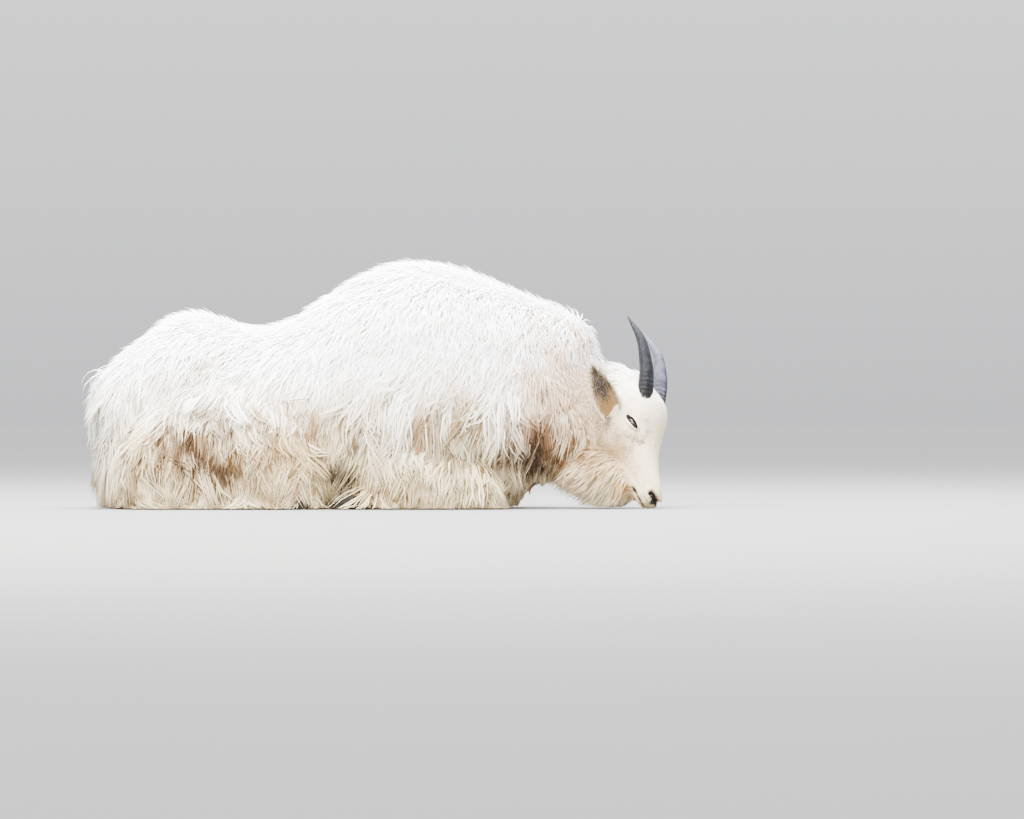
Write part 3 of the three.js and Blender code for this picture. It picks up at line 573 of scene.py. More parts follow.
# Stains, patches and painted shade: middle, reach, shade, strength and how ragged the edge is
coatMarks = [
    ((0.040, 0.22, 0.170), (0.120, 0.30, 0.080), "f2ecdf", 0.65, 0.8),
    # painted shade: the low rump in cool, bluish shade
    ((-0.670, 0.00, 0.150), (0.100, 0.30, 0.140), "c9cfd0", 0.80, 0.6),
    ((0.420, 0.10, 0.250), (0.130, 0.30, 0.160), "cba67e", 0.75, 0.9),
    # the brown stain under the neck; the second, darkest mark is partly painted shade between the throat and
    # the foreleg
    ((0.370, 0.12, 0.145), (0.120, 0.30, 0.098), "7a5534", 0.88, 1.0),
    ((0.348, 0.13, 0.106), (0.078, 0.30, 0.060), "38281c", 0.93, 0.9),
    # painted shade: a grey shading over the middle of the thigh
    ((-0.420, 0.22, 0.260), (0.150, 0.20, 0.080), "c9c4b2", 0.65, 1.2),
    ((-0.440, 0.22, 0.125), (0.120, 0.20, 0.072), "5f4226", 0.92, 1.2),
    # brown streaks low on the thigh, darkened with painted shade along the ground
    ((-0.370, 0.22, 0.098), (0.095, 0.20, 0.036), "47321e", 0.80, 1.2),
    ((-0.395, 0.22, 0.212), (0.050, 0.20, 0.022), "8f7552", 0.60, 1.3),
    ((-0.190, 0.22, 0.150), (0.120, 0.20, 0.080), "a98a5c", 0.65, 1.2),
    # painted shade in the parting between the rump's hair and the thigh
    ((-0.574, 0.20, 0.155), (0.010, 0.20, 0.050), "6b5942", 0.70, 0.5),
    # painted shadow in the gap between the hind leg and the foreleg
    ((-0.085, 0.20, 0.080), (0.036, 0.20, 0.044), "33251a", 0.90, 0.9),
    ((-0.187, 0.22, 0.176), (0.018, 0.10, 0.015), "6f5336", 0.75, 0.6),
    # painted shadow on the foreleg
    ((0.215, 0.20, 0.155), (0.070, 0.20, 0.070), "a59877", 0.60, 1.2),
    # painted shade in a fold of the foreleg's hair
    ((0.176, 0.20, 0.100), (0.016, 0.20, 0.038), "7a664c", 0.60, 0.7),
    ((0.615, 0.15, 0.170), (0.110, 0.20, 0.160), "ebdfc4", 0.85, 0.3),
    ((0.535, 0.14, 0.120), (0.085, 0.14, 0.085), "a07c50", 0.80, 1.2),
    ((0.520, 0.14, 0.040), (0.060, 0.14, 0.040), "8e8369", 0.70, 0.8),
    ((0.572, 0.13, 0.036), (0.034, 0.12, 0.030), "8a6230", 0.90, 0.8),
    ((0.622, 0.15, 0.172), (0.034, 0.10, 0.030), "6d5c42", 0.78, 0.6),
    ((0.630, 0.13, 0.166), (0.012, 0.08, 0.018), "5a4e3a", 0.70, 0.7),
]


def coatColour(shader, place, x, z, tone):
    # both sides carry the same marks; the tone of a tuft moves their edges
    fine = shader.noise(place, 22.0, 4.0)
    broad = shader.noise(place, 5.0) - 0.5
    # the coat turns cream and darker towards the ground, partly its own staining and partly painted shade
    cream = (z + broad * 0.22 + tone * 0.08).between(0.33, 0.14)
    shade = shader.mix(cream * 0.92, coatShades["white"], coatShades["cream"])
    low = (z + broad * 0.16 + tone * 0.06).between(0.17, 0.03)
    shade = shader.mix(low * fine.between(0.35, 0.6) * 0.7, shade, coatShades["low"])
    jitter = shader.vector("SUBTRACT", shader.noise(place, 14.0, 3.0, output=1), (0.5, 0.5, 0.5))
    side = shader.part(shader.vector("ABSOLUTE", place), 1)
    place = shader.node("ShaderNodeCombineXYZ", {}, {0: x, 1: side, 2: z})
    place = shader.vector("ADD", place, shader.vector("MULTIPLY", jitter, (0.12, 0.12, 0.12)))
    for middle, reach, markShade, strength, ragged in coatMarks:
        away = shader.vector("DIVIDE", shader.vector("SUBTRACT", place, middle), reach)
        mask = (shader.vector("LENGTH", away) + (fine - 0.5) * ragged + tone).between(1.35, 0.25)
        shade = shader.mix(mask * strength, shade, markShade)
    return shade


def coatMaterial(name, tufted):
    shader = Shader(bpy.data.materials.new(name))
    place = shader.place()
    x, z = shader.part(place, 0), shader.part(place, 2)
    tone = shader.attribute("tone")
    shade = coatColour(shader, place, x, z, (tone - 0.5) * 0.9 if tufted else 0.0)
    if tufted:
        # painted shade between the locks on the lower body, deepest on the darker tufts
        lockGapShade = (0.56 - tone).larger(0.0) * z.between(0.30, 0.16) * x.between(0.56, 0.46)
        shade = shader.mix(lockGapShade * 2.2, shade, "a39177", "MULTIPLY")
        roots = shader.attribute("run").between(0.5, 0.0)
        shade = shader.mix(roots * 0.22, shade, "dccbb0", "MULTIPLY")
        shade = shader.mix((0.5 - tone).larger(0.0) * 0.6, shade, "dfd0b8", "MULTIPLY")
        strand = shader.node("ShaderNodeUVMap", {"uv_map": "Strand"})
        strand = shader.vector("MULTIPLY", strand, (5.0, 0.6, 1.0))
        lines = shader.node("ShaderNodeTexNoise", {"noise_dimensions": "2D"},
                            {"Vector": strand, "Scale": 1.0, "Detail": 1.0})
        normal = shader.bump(lines, 0.0008, 0.4)
    else:
        hairs = shader.noise(place, (300.0, 300.0, 90.0), 2.0)
        shade = shader.mix(hairs.between(0.6, 0.3) * 0.3, shade, "d9c8ad", "MULTIPLY")
        normal = shader.bump(hairs, 0.0010, 0.5)
    dark = shader.attribute("dark")
    shade = shader.mix(dark.between(0.25, 0.8), shade, coatShades["lip"])
    shade = shader.mix(dark.between(0.75, 1.0), shade, coatShades["dark"])
    rough = 0.9 - dark.between(0.6, 1.0) * 0.5
    # the tufts glow with their own shade, a painted light that lifts the shadows between them
    return shader.set(Base_Color=shade, Roughness=rough, Normal=normal, Specular_IOR_Level=0.2,
                      Emission_Color=shade, Emission_Strength=coat["paintedGlow"] if tufted else 0.0)


# Hair

coat = {"thick": 0.20, "patch": 0.003, "floor": 0.002, "pieceTriangles": 195000, "softness": 0.78,
        "paintedGlow": 0.15, "waveLength": 0.05}
# The kinds of hair: how many tufts, how many rings each has, how many share a clump, how far a clump draws
# them together, and how much the clumps' tones differ
hairKinds = {
    "coat": {"tufts": 83000, "rings": 2, "together": 30, "spread": 0.034, "uneven": 0.20},
    "locks": {"tufts": 13200, "rings": 4, "together": 14, "spread": 0.036, "uneven": 0.27},
    "mane": {"tufts": 17000, "rings": 2, "together": 9, "spread": 0.012, "uneven": 0.20},
    "face_hair": {"tufts": 42000, "rings": 1, "together": 10, "spread": 0.008, "uneven": 0.20},
}
# The length, lift and width of the coat: a base, and what each part of the animal adds to it
coatLength = {"base": 0.050, "flank": 0.010, "skirt": 0.020, "rump": -0.010, "lowRump": 0.030, "neck": -0.004}
coatLift = {"base": 0.86, "flank": -0.34, "low": -0.12, "rump": -0.30, "lowRump": 0.40}
coatWidth = {"base": 0.0033, "low": 0.0008, "under": -0.0012}
faceLength = {"base": 0.006, "brow": 0.006, "cheeks": 0.046, "chin": 0.036, "poll": 0.002, "crest": 0.020}
faceLift = {"base": 0.30, "long": 0.06, "poll": 0.25, "crest": 0.35}
faceWidth = {"base": 0.0020, "long": 0.0002}
throatHair = {"way": np.array([-1.0, 0.0, -0.45]), "length": 0.060, "lift": 0.30}
cheekWay = np.array([-1.0, 0.0, -0.42])
footLength = 0.022
# The locks' own sizes, and the most that face hair may have
lock = {"length": 0.085, "width": 0.0044, "clump": 0.80, "wave": 0.0050}
faceMost = {"length": 0.014, "width": 0.0022}


def eyePlace(hand):
    return onHead(eye["along"], eye["up"], eye["side"], hand)


def eyeWays(hand):
    slant = wayOnHead(-0.74, 0, 0.67)
    out = wayOnHead(0.1, hand, 0.35)
    tall = unit(np.cross(out, slant))
    return slant, tall, unit(np.cross(slant, tall))


def roundEye(points, hand, wide=1.0, high=1.0):
    # below 1 inside an almond round the eye, and large away from it
    slant, tall, _ = eyeWays(hand)
    away = points - eyePlace(hand)
    around = np.hypot(away @ slant / (eye["half"] * wide), away @ tall / (eye["height"] * high))
    return np.where(np.linalg.norm(away, axis=1) < 0.05, around, 99)


def eyeDistance(points):
    return np.minimum(*[np.linalg.norm(points - eyePlace(hand), axis=1) for hand in hands])


def darkAt(points):
    # how dark the skin is along the mouth, in the nostrils and round the eyes
    total = np.zeros(len(points))
    for hand in hands:
        total = np.maximum(total, 1.5 * swell(nearLine(points, "mouth", hand), 0.0042))
        total = np.maximum(total, 1.8 * swell(nearLine(points, "nostril", hand), 0.0076))
        total = np.maximum(total, ease(roundEye(points, hand, 1.14, 1.40), 1.12, 0.95))
    return np.clip(total, 0, 1)


def headReach(points):
    # below 1 inside the head's form and above it outside
    along, side, up = toHead(points).T
    top, level, half, bottom = rowSizes(head["rows"], np.clip(along, -0.02, 0.33)).T
    height = np.where(up > level, top - level, level - bottom)
    reach = np.hypot((up - level) / height, side / half)
    return reach + 20 * np.maximum(0, along - 0.350)


def faceShare(points):
    return ease(headReach(points), 1.22, 1.06)


def longOnHead(points):
    # where the head's hair is long: the cheeks and jaw, the chin, and the poll behind the horns
    along, _, up = toHead(points).T
    cheeks = ease(up, -0.074, -0.118) * ease(along, 0.034, 0.090) * ease(eyeDistance(points), 0.030, 0.060)
    lips = np.interp(along, *zip(*faceLines["mouth"]))
    chin = ease(up - lips, -0.005, -0.015) * ease(along, 0.085, 0.050) * ease(along, -0.010, 0.010)
    return cheeks, chin, ease(along, 0.240, 0.285)


def nearEars(points):
    # 1 beside an ear and 0 well away from it
    near = np.zeros(len(points))
    for hand in hands:
        base, reach, _, _ = earWays(hand)
        away = pathDistance(points, [base, base + reach * ear["length"] * 1.05])
        near = np.maximum(near, ease(away, 0.105, 0.055))
    return near


def coatPlan(points, normals):
    # the lie, length, lift and width of the coat at each root
    x, y, z = points.T
    along, _, up = toHead(points).T
    flank = np.abs(normals[:, 1])
    belly = ease(normals[:, 2], -0.25, -0.75)
    rump = ease(x, -0.46, -0.60)
    lowRump = rump * ease(z, 0.24, 0.12)
    low = ease(z, 0.26, 0.08)
    neck = ease(x, 0.26, 0.40)
    back, across, rise = toThroat(points).T
    under = ease(back, -0.27, -0.215) * ease(rise, 0.175, 0.120) * ease(np.abs(across), 0.105, 0.085)
    feet = np.maximum(*[ease(np.abs(x - middle), 0.075, 0.045) for middle in (-0.235, -0.020)])
    feet = feet * ease(z, 0.075, 0.045) * ease(np.abs(y), 0.140, 0.160)
    way = np.stack([-1 + 0.60 * flank + 0.75 * rump + 0.2 * neck, 0.10 * np.sign(y) * flank,
                    -0.10 - 1.3 * flank - 1.5 * rump - 0.8 * low - 0.4 * neck], 1)
    way = blend(way, throatHair["way"], under[:, None])
    length = summed(coatLength, flank=flank, skirt=low * flank, rump=rump, lowRump=lowRump, neck=neck)
    length = blend(length * (1 - 0.45 * belly), throatHair["length"], under)
    length = blend(length, footLength, feet)
    lift = summed(coatLift, flank=flank, low=low, rump=rump * ease(z, 0.36, 0.25), lowRump=lowRump)
    lift = blend(lift, throatHair["lift"], under)

    # the face
    face = faceShare(points)
    cheeks, chin, poll = longOnHead(points)
    long = np.maximum(cheeks, chin)
    crest = swell(along - 0.284, 0.018) * swell(up + 0.058, 0.020)
    brow = ease(along, 0.08, 0.22)
    hair = summed(faceLength, brow=brow, cheeks=cheeks, chin=chin, poll=poll, crest=crest)
    hair = hair * (0.45 + 0.55 * ease(eyeDistance(points), 0.014, 0.034))
    down = 0.8 * ease(up, -0.02, -0.08) * (1 - poll) + 2.2 * poll * (1 - crest)
    faceWay = blend(headAlong, cheekWay, long[:, None]) - np.outer(down, headFront)
    way = blend(way, faceWay, face[:, None])
    length = blend(length, hair, face)
    length = length * (1 - 0.80 * nearEars(points) * (1 - 0.6 * face) * ease(flank, 0.2, 0.5))
    lift = blend(lift, summed(faceLift, long=long, poll=poll, crest=crest), face)
    width = blend(summed(coatWidth, low=low, under=under), summed(faceWidth, long=long), face)

    # the lie wanders a little over the body
    turn = 0.36 * waves(points, 0.24, 3) + (0.26 + 0.40 * low) * waves(points, 0.070, 4)
    turn = (turn * (1 - 0.75 * face * (1 - long)))[:, None]
    way = square(way, normals)
    way = way * np.cos(turn) + np.cross(normals, way) * np.sin(turn)
    clump = blend(0.16 + 0.56 * low + 0.10 * flank * neck, 0.20 + 0.20 * long, face) * (1 - 0.5 * under)
    length = length * (1 + 0.18 * waves(points, 0.12, 5))
    return {"way": way, "length": length, "lift": lift, "width": width, "clump": clump,
            "droop": 0.10 + 0.16 * low, "wave": 0.0012 + 0.0035 * low * (1 - face)}


def sampleRoots(piece, count, density):
    # roots spread over a piece's faces by a density, with the place of each on the unwrap
    mesh = piece.data
    mesh.calc_loop_triangles()
    total = len(mesh.loop_triangles)
    corners, loops = np.empty(total * 3, int), np.empty(total * 3, int)
    mesh.loop_triangles.foreach_get("vertices", corners)
    mesh.loop_triangles.foreach_get("loops", loops)
    corners, loops = corners.reshape(-1, 3), loops.reshape(-1, 3)
    verts, normals = readVerts(mesh)
    a, b, c = verts[corners[:, 0]], verts[corners[:, 1]], verts[corners[:, 2]]
    areas = np.linalg.norm(np.cross(b - a, c - a), axis=1)
    owners = np.empty(total, int)
    mesh.loop_triangles.foreach_get("polygon_index", owners)
    weight = areas * density((a + b + c) / 3, unit(normals[corners].mean(axis=1)))
    # the lids, which come after the furred faces, grow no hair
    weight *= owners < piece.get("furred", total * 3)
    run = np.cumsum(weight) / weight.sum()
    picked = np.searchsorted(run, (np.arange(count) + rng.random(count)) / count)
    picked = np.clip(picked, 0, total - 1)
    u, v = rng.random(count), rng.random(count)
    flip = u + v > 1
    u, v = np.where(flip, 1 - u, u), np.where(flip, 1 - v, v)
    shares = np.stack([1 - u - v, u, v], 1)
    points = np.einsum("ij,ijk->ik", shares, verts[corners[picked]])
    out = unit(np.einsum("ij,ijk->ik", shares, normals[corners[picked]]))
    unwrap = np.empty(len(mesh.loops) * 2)
    mesh.uv_layers["OFBake"].data.foreach_get("uv", unwrap)
    places = np.einsum("ij,ijk->ik", shares, unwrap.reshape(-1, 2)[loops[picked]])
    return points, out, places


def tuftLines(points, normals, plan, shares, jitter):
    # the middle line of each tuft at the given shares of its length
    count = len(points)
    way, length, lift = plan["way"], plan["length"], plan["lift"]
    side = np.cross(normals, way)
    way = unit(way + side * (jitter * rng.normal(size=count) * 0.5)[:, None])
    side = np.cross(normals, way)
    length = length * (1 + jitter * rng.uniform(-0.6, 0.5, count))
    lift = np.clip(lift * (1 + jitter * rng.normal(size=count) * 0.45), 0.08, 1.30)
    curl = rng.normal(size=count) * 0.20
    phase = rng.uniform(0, 2 * math.pi, count)
    bend = 0.55 * np.sin(lift) + length / 0.42
    lines = []
    for share in shares:
        forward = share * np.cos(lift) + 0.25 * np.sin(lift) * share * share
        upward = share * np.sin(lift) - bend * share * share * 0.55
        line = points + (length * forward)[:, None] * way + (length * upward)[:, None] * normals
        sway = plan["wave"] * share * np.sin(phase + share * length * 2 * math.pi / coat["waveLength"])
        sway = sway + length * curl * share * share
        line = line + sway[:, None] * side
        line[:, 2] -= length * plan["droop"] * share * share
        lines.append(line)
    return np.stack(lines, 1)


# Where the rings of a tuft lie along it, up to its tip, and how wide they are, by how many it has
ringShares = {1: [0, 1], 2: [0, 0.5, 1], 4: [0, 0.28, 0.54, 0.78, 1]}
ringWidths = {1: [1.0], 2: [0.8, 1.0], 4: [0.6, 1.0, 0.9, 0.6]}


def tuftSolids(points, normals, plan, kind):
    # each tuft as rings of three corners and a tip, drawn to the nearest clump's own line
    rings = kind["rings"]
    shares = np.array(ringShares[rings], float)
    lines = tuftLines(points, normals, plan, shares, 0.60)
    heads = rng.permutation(len(points))[:max(8, len(points) // kind["together"])]
    headPlan = {key: value[heads] for key, value in plan.items()}
    leads = tuftLines(points[heads], normals[heads], headPlan, shares, 0.8)
    nearest = nearestOf(points[heads], points)
    away = np.linalg.norm(points - points[heads[nearest]], axis=1)
    pull = plan["clump"] * np.clip(1.35 - away / kind["spread"], 0, 1)
    pull = pull[:, None] * shares[None, :] ** 1.25
    lines = lines + pull[:, :, None] * (leads[nearest] - lines)
    lines[:, 0] -= normals * (0.10 * plan["length"])[:, None].clip(0.0008, 0.004)
    width = plan["width"] * rng.uniform(0.7, 1.3, len(points))
    verts, facing, under = [], [], []
    for k in range(rings):
        ahead = unit(lines[:, k + 1] - lines[:, max(k - 1, 0)])
        out = square(normals, ahead)
        across = np.cross(out, ahead)
        half = (width * ringWidths[rings][k] / 2)[:, None]
        middle = lines[:, k]
        verts += [middle - across * half, middle + out * half * 2 * coat["thick"], middle + across * half]
        facing += [out - 0.8 * across, out, out + 0.8 * across]
        under += [-out - 0.6 * across, out, 0.6 * across - out]
    verts.append(lines[:, -1])
    facing.append(facing[-2])
    under.append(-out)
    verts = np.stack(verts, 1)
    verts[:, :, 2] = np.maximum(verts[:, :, 2], coat["floor"] + 0.002 * rng.random((len(points), 1)))
    soft = (coat["softness"] * (0.45 + 0.55 * ease(normals[:, 2], -0.7, 0.1)))[:, None, None]
    facing = unit(unit(np.stack(facing, 1)) * (1 - soft) + normals[:, None] * soft)
    return verts, facing, unit(np.stack(under, 1)), nearest


def tuftFaces(rings):
    # the faces of one tuft, and which of them are on its underside
    faces, lower = [(0, 1, 2)], [True]
    for ring in range(rings - 1):
        for k in range(3):
            a, b = ring * 3 + k, ring * 3 + (k + 1) % 3
            faces += [(a, a + 3, b + 3), (a, b + 3, b)]
            lower += [k == 2, k == 2]
    last = (rings - 1) * 3
    faces += [(last + k, rings * 3, last + (k + 1) % 3) for k in range(3)]
    return np.array(faces), np.array(lower + [False, False, True])


def tuftPiece(name, solids, places, facts, rings, material):
    # one mesh of many tufts, with the patches of its unwrap and what the shader reads
    verts, facing, under = solids
    count, each, _ = verts.shape
    pattern, lower = tuftFaces(rings)
    faces = (pattern[None] + (np.arange(count) * each)[:, None, None]).reshape(-1, 3)
    mesh = bpy.data.meshes.new(name)
    mesh.vertices.add(count * each)
    mesh.vertices.foreach_set("co", verts.astype(np.float32).ravel())
    mesh.loops.add(faces.size)
    mesh.loops.foreach_set("vertex_index", faces.ravel().astype(np.int32))
    mesh.polygons.add(len(faces))
    mesh.polygons.foreach_set("loop_start", np.arange(0, faces.size, 3, dtype=np.int32))
    mesh.polygons.foreach_set("use_smooth", np.ones(len(faces), bool))
    mesh.update(calc_edges=True)
    run = np.array([k // 3 / rings for k in range(rings * 3)] + [1.0])
    across = np.array([(0.0, 0.5, 1.0)[k % 3] for k in range(rings * 3)] + [0.5])
    patch = np.stack([across - 0.5, run - 0.5], 1) * coat["patch"]
    unwrap = (places[:, None, :] + patch[None]).reshape(-1, 2)[faces.ravel()]
    mesh.uv_layers.new(name="OFBake").data.foreach_set("uv", unwrap.astype(np.float32).ravel())
    strand = np.stack([across[None] + 9 * rng.random((count, 1)), run[None] + 9 * rng.random((count, 1))], -1)
    strand = strand.reshape(-1, 2)[faces.ravel()]
    mesh.uv_layers.new(name="Strand").data.foreach_set("uv", strand.astype(np.float32).ravel())
    tagPoints(mesh, {"run": np.tile(run, count)})
    tagPoints(mesh, {key: np.repeat(values, each) for key, values in facts.items()})
    facing = np.where(lower[None, :, None, None], under[:, pattern], facing[:, pattern])
    mesh.normals_split_custom_set(facing.reshape(-1, 3).astype(np.float32))
    mesh.materials.append(material)
    return inScene(name, mesh)


def unwrapped(piece):
    # an unwrap of the piece's own shape
    piece.data.uv_layers.new(name="OFBake")
    bpy.context.view_layer.objects.active = piece
    piece.select_set(True)
    bpy.ops.object.mode_set(mode="EDIT")
    bpy.ops.mesh.select_all(action="SELECT")
    bpy.ops.uv.smart_project(angle_limit=math.radians(66), island_margin=0.001)
    bpy.ops.object.mode_set(mode="OBJECT")
    piece.select_set(False)


def bareSpots(points):
    # 0 on the lips, in the nostrils, on the eyes and under the horns, and 1 elsewhere
    clear = np.ones(len(points))
    for hand in hands:
        clear *= ease(nearLine(points, "mouth", hand), 0.0021, 0.0035)
        clear *= ease(nearLine(points, "nostril", hand), 0.006375, 0.0085)
        clear *= ease(roundEye(points, hand, 1.12, 1.45), 0.95, 1.10)
        clear *= ease(pathDistance(points, hornLine(hand)), 0.015, 0.018)
    return clear


# How thickly each kind of hair grows

def coatDensity(points, normals):
    z = points[:, 2]
    hidden = ease(z, 0.03, 0.008) * ease(normals[:, 2], -0.5, -0.8)
    back, across, rise = toThroat(points).T
    under = ease(back, -0.30, -0.24) * ease(rise, 0.20, 0.14) * ease(np.abs(across), 0.125, 0.105)
    return (1 - faceShare(points)) * (1 - hidden) * (0.75 + 0.5 * ease(z, 0.30, 0.10)) * (1 + 2.0 * under)


def lockDensity(points, normals):
    # long locks hang over the legs and along the belly, the chest and the rump
    x, _, z = points.T
    hanging = ease(z, 0.36, 0.25) * ease(z, 0.03, 0.06) * ease(x, 0.40, 0.33)
    hanging = hanging * ease(normals[:, 2], -0.6, -0.1)
    return hanging * (1 - faceShare(points)) * (1 - 0.9 * nearEars(points))


def maneDensity(points, normals):
    return faceShare(points) * np.maximum.reduce(longOnHead(points)) * bareSpots(points)


def faceDensity(points, normals):
    # the side that the camera sees has more
    seen = ease(points[:, 1], -0.02, -0.07)
    return ease(headReach(points), 1.22, 1.10) * bareSpots(points) * (1 + 2.2 * seen)


def overForeleg(points):
    # 1 on the flank just above a folded foreleg, where the locks hang over its knee and forearm
    x, _, z = points.T
    return ease(z, 0.18, 0.22) * ease(z, 0.34, 0.27) * ease(x, -0.09, -0.03) * ease(x, 0.34, 0.27)


densities = {"coat": coatDensity, "locks": lockDensity, "mane": maneDensity, "face_hair": faceDensity}


def growCoat(skin, material):
    pieces = []
    for name, kind in hairKinds.items():
        count = kind["tufts"]
        points, normals, places = sampleRoots(skin, count, densities[name])
        plan = coatPlan(points, normals)
        if name == "face_hair":
            plan.update({key: np.minimum(plan[key], most) for key, most in faceMost.items()})
        if name == "locks":
            shoulder = overForeleg(points)
            lift = plan["lift"] * (0.9 + 0.5 * shoulder)
            plan.update({key: np.full(count, size) for key, size in lock.items()}, lift=lift)
            plan["length"] = plan["length"] * rng.uniform(0.8, 1.15, count) * (1 + 0.5 * shoulder)
        *solids, nearest = tuftSolids(points, normals, plan, kind)
        tones = 0.5 + 0.14 * rng.normal(size=count)
        tones = tones + kind["uneven"] * rng.normal(size=nearest.max() + 1)[nearest]
        facts = {"tone": np.clip(tones, 0, 1), "dark": darkAt(points) * (name == "face_hair")}
        order = np.argsort(points[:, 0])
        share = coat["pieceTriangles"] // len(tuftFaces(kind["rings"])[0])
        for number, start in enumerate(range(0, count, share)):
            part = order[start:start + share]
            cut = [values[part] for values in solids]
            cutFacts = {key: values[part] for key, values in facts.items()}
            made = tuftPiece(f"{name}_{number + 1}", cut, places[part], cutFacts, kind["rings"], material)
            pieces.append(made)
    return pieces


# Horns, eyes, ears and hooves

horn = {"radius": 0.0200, "steps": 120, "sides": 28, "rings": 9, "ringed": 0.42, "ridge": 0.0009,
        "sunk": 0.016, "lengths": {1: 1.0, -1: 0.93}}
hornPath = [(0.247, -0.044, 0.036), (0.280, -0.042, 0.039), (0.317, -0.044, 0.043),
            (0.376, -0.059, 0.049), (0.438, -0.100, 0.050)]
# Each horn is darkest on its outer side and painted paler on the side that faces the other horn, as a painted
# sky reflection
hornShades = {"outer": ("0b0c0f", "141519"), "inner": ("3a3b46", "565764")}


def hornLine(hand):
    base = hornPath[0][0]
    share = horn["lengths"][hand]
    points = [onHead(blend(base, along, share), up, side, hand) for along, up, side in hornPath]
    points.insert(0, points[0] + unit(points[0] - points[1]) * horn["sunk"])
    return smoothPath(points, horn["steps"])


def makeHorn(name, hand, material):
    path = hornLine(hand)
    run = np.linspace(0, 1, horn["steps"])
    ridges = np.abs(np.sin(run * math.pi * horn["rings"] / horn["ringed"])) ** 0.6 * ease(run, 0.46, 0.10)
    radius = np.maximum(0.0006, horn["radius"] * (1 - run ** 1.9) ** 0.9 + ridges * horn["ridge"])
    rings = tubeRings(path, radius, horn["sides"], 0.92, headFront)
    piece = ringPiece(name, rings, path[0], path[-1])
    inner = unit(rings - path[:, None]) @ (-headRight * hand)
    tagPoints(piece.data, {"run": np.append(np.repeat(run, horn["sides"]), [0, 1]),
                           "inner": np.append(inner.ravel(), [0, 0])})
    return dressed(piece, material)


def hornMaterial():
    shader = Shader(bpy.data.materials.new("horn"))
    place = shader.place()
    run = shader.attribute("run")
    streak = shader.noise(place, (260.0, 260.0, 40.0), 3.0)
    cloud = shader.noise(place, 45.0, 2.0)
    turn = run * (2 * math.pi * horn["rings"] / horn["ringed"])
    groove = turn.maths("COSINE", turn)
    sides = [shader.mix(cloud.between(0.35, 0.65), *hornShades[side]) for side in ("outer", "inner")]
    # the side facing the other horn is paler: a painted reflection of the sky
    inner = (shader.attribute("inner") + (cloud - 0.5) * 0.4).between(-0.15, 0.55)
    shade = shader.mix(inner, *sides)
    shade = shader.mix(streak.between(0.45, 0.7) * 0.3, shade, "3a3a43")
    # painted shade in the grooves between the ridges near the base
    shade = shader.mix(groove.between(0.2, 0.95) * run.between(0.34, 0.12) * 0.8, shade, "050404")
    shade = shader.mix(run.between(0.20, 0.06) * 0.2, shade, "120f0e")
    return shader.set(Base_Color=shade, Roughness=0.50 + streak * 0.22, Specular_IOR_Level=0.14,
                      Normal=shader.bump(streak, 0.0006, 0.5))


eyeball = {"rings": 22, "sides": 32, "sunk": 0.0055, "size": (0.93, 1.9, 0.86)}


def makeEye(name, hand, material):
    ways = np.array(eyeWays(hand))
    middle = eyePlace(hand) - ways[2] * eyeball["sunk"]
    around = np.arange(eyeball["sides"]) / eyeball["sides"] * 2 * math.pi
    reach = np.array(eyeball["size"]) * (eye["half"], eye["height"], eye["depth"])
    rings = [[middle + reach * (math.sin(t) * math.cos(r), math.sin(t) * math.sin(r), math.cos(t)) @ ways
              for r in around] for t in np.linspace(0.06, math.pi - 0.06, eyeball["rings"])]
    piece = ringPiece(name, rings, middle + reach[2] * ways[2], middle - reach[2] * ways[2])
    local = (readVerts(piece.data)[0] - middle) @ ways.T
    tagPoints(piece.data, {"lengthwise": local[:, 0] / eye["half"], "upright": local[:, 1] / eye["height"]})
    return dressed(piece, material)


def eyeMaterial():
    shader = Shader(bpy.data.materials.new("eye"))
    wide, high = shader.attribute("lengthwise"), shader.attribute("upright")
    iris = (wide * wide * 2.4 + high * high * 0.55) ** 0.5
    pupil = (wide * wide * 5.5 + high * high * 3.2) ** 0.5
    streak = shader.noise(shader.place(), 900.0, 2.0)
    shade = shader.mix(streak.between(0.3, 0.7), "1c1008", "2c1b0c")
    shade = shader.mix(iris.between(0.82, 1.0), shade, "231a15")
    shade = shader.mix(pupil.between(1.0, 0.86), shade, "070606")
    return shader.set(Base_Color=shade, Roughness=0.20, Specular_IOR_Level=0.3, Coat_Weight=0.1,
                      Coat_Roughness=0.05)


# The upper and lower lid's height over the eye's own, and how finely both are drawn
lid = {"upper": 0.0042, "lower": 0.0026, "around": 72, "sides": 12}


def makeLids(hand):
    # two bent folds that close on the eye, as one almond ring
    slant, tall, facing = eyeWays(hand)
    middle = eyePlace(hand)
    count, sides = lid["around"], lid["sides"]
    rings = []
    for t in np.arange(count) / count * 2 * math.pi:
        wide, high = math.cos(t), math.sin(t)
        height = eye["height"] + lid["upper" if high > 0 else "lower"]
        point = middle + slant * wide * eye["half"] * 1.12 + facing * (0.0080 - 0.0085 * wide * wide)
        point = point + tall * np.sign(high) * abs(high) ** 1.25 * height
        fold = 0.0016 + 0.0017 * abs(high) ** 0.8
        outward = unit(slant * wide / eye["half"] + tall * high / (eye["height"] * 2.2))
        rings.append([point + fold * (math.cos(r) * outward * 1.25 + math.sin(r) * facing)
                      for r in np.arange(sides) / sides * 2 * math.pi])
    faces = []
    for i in range(count):
        here, ahead = i * sides, (i + 1) % count * sides
        for k in range(sides):
            beside = (k + 1) % sides
            faces.append((here + k, ahead + k, ahead + beside, here + beside))
    lids = meshPiece("lids", np.array(rings).reshape(-1, 3), faces)
    faceOut(lids)
    return lids


ear = {"along": 0.203, "up": -0.112, "side": 0.079, "length": 0.118, "width": 0.058, "cup": 0.018,
       "thick": 0.0036, "sunk": 0.028, "rows": 40, "columns": 26, "least": 0.0008}
# What the shader reads on an ear: along it, across it, and whether it is the inner face
earFacts = ("earRun", "earAcross", "earInside")


def earWays(hand):
    base = onHead(ear["along"], ear["up"], ear["side"], hand)
    reach = wayOnHead(0.62, 0.78 * hand, -0.08)
    opening = wayOnHead(-0.55, 0.55 * hand, 0.6)
    across = unit(np.cross(reach, opening))
    return base, reach, across, unit(np.cross(across, reach))


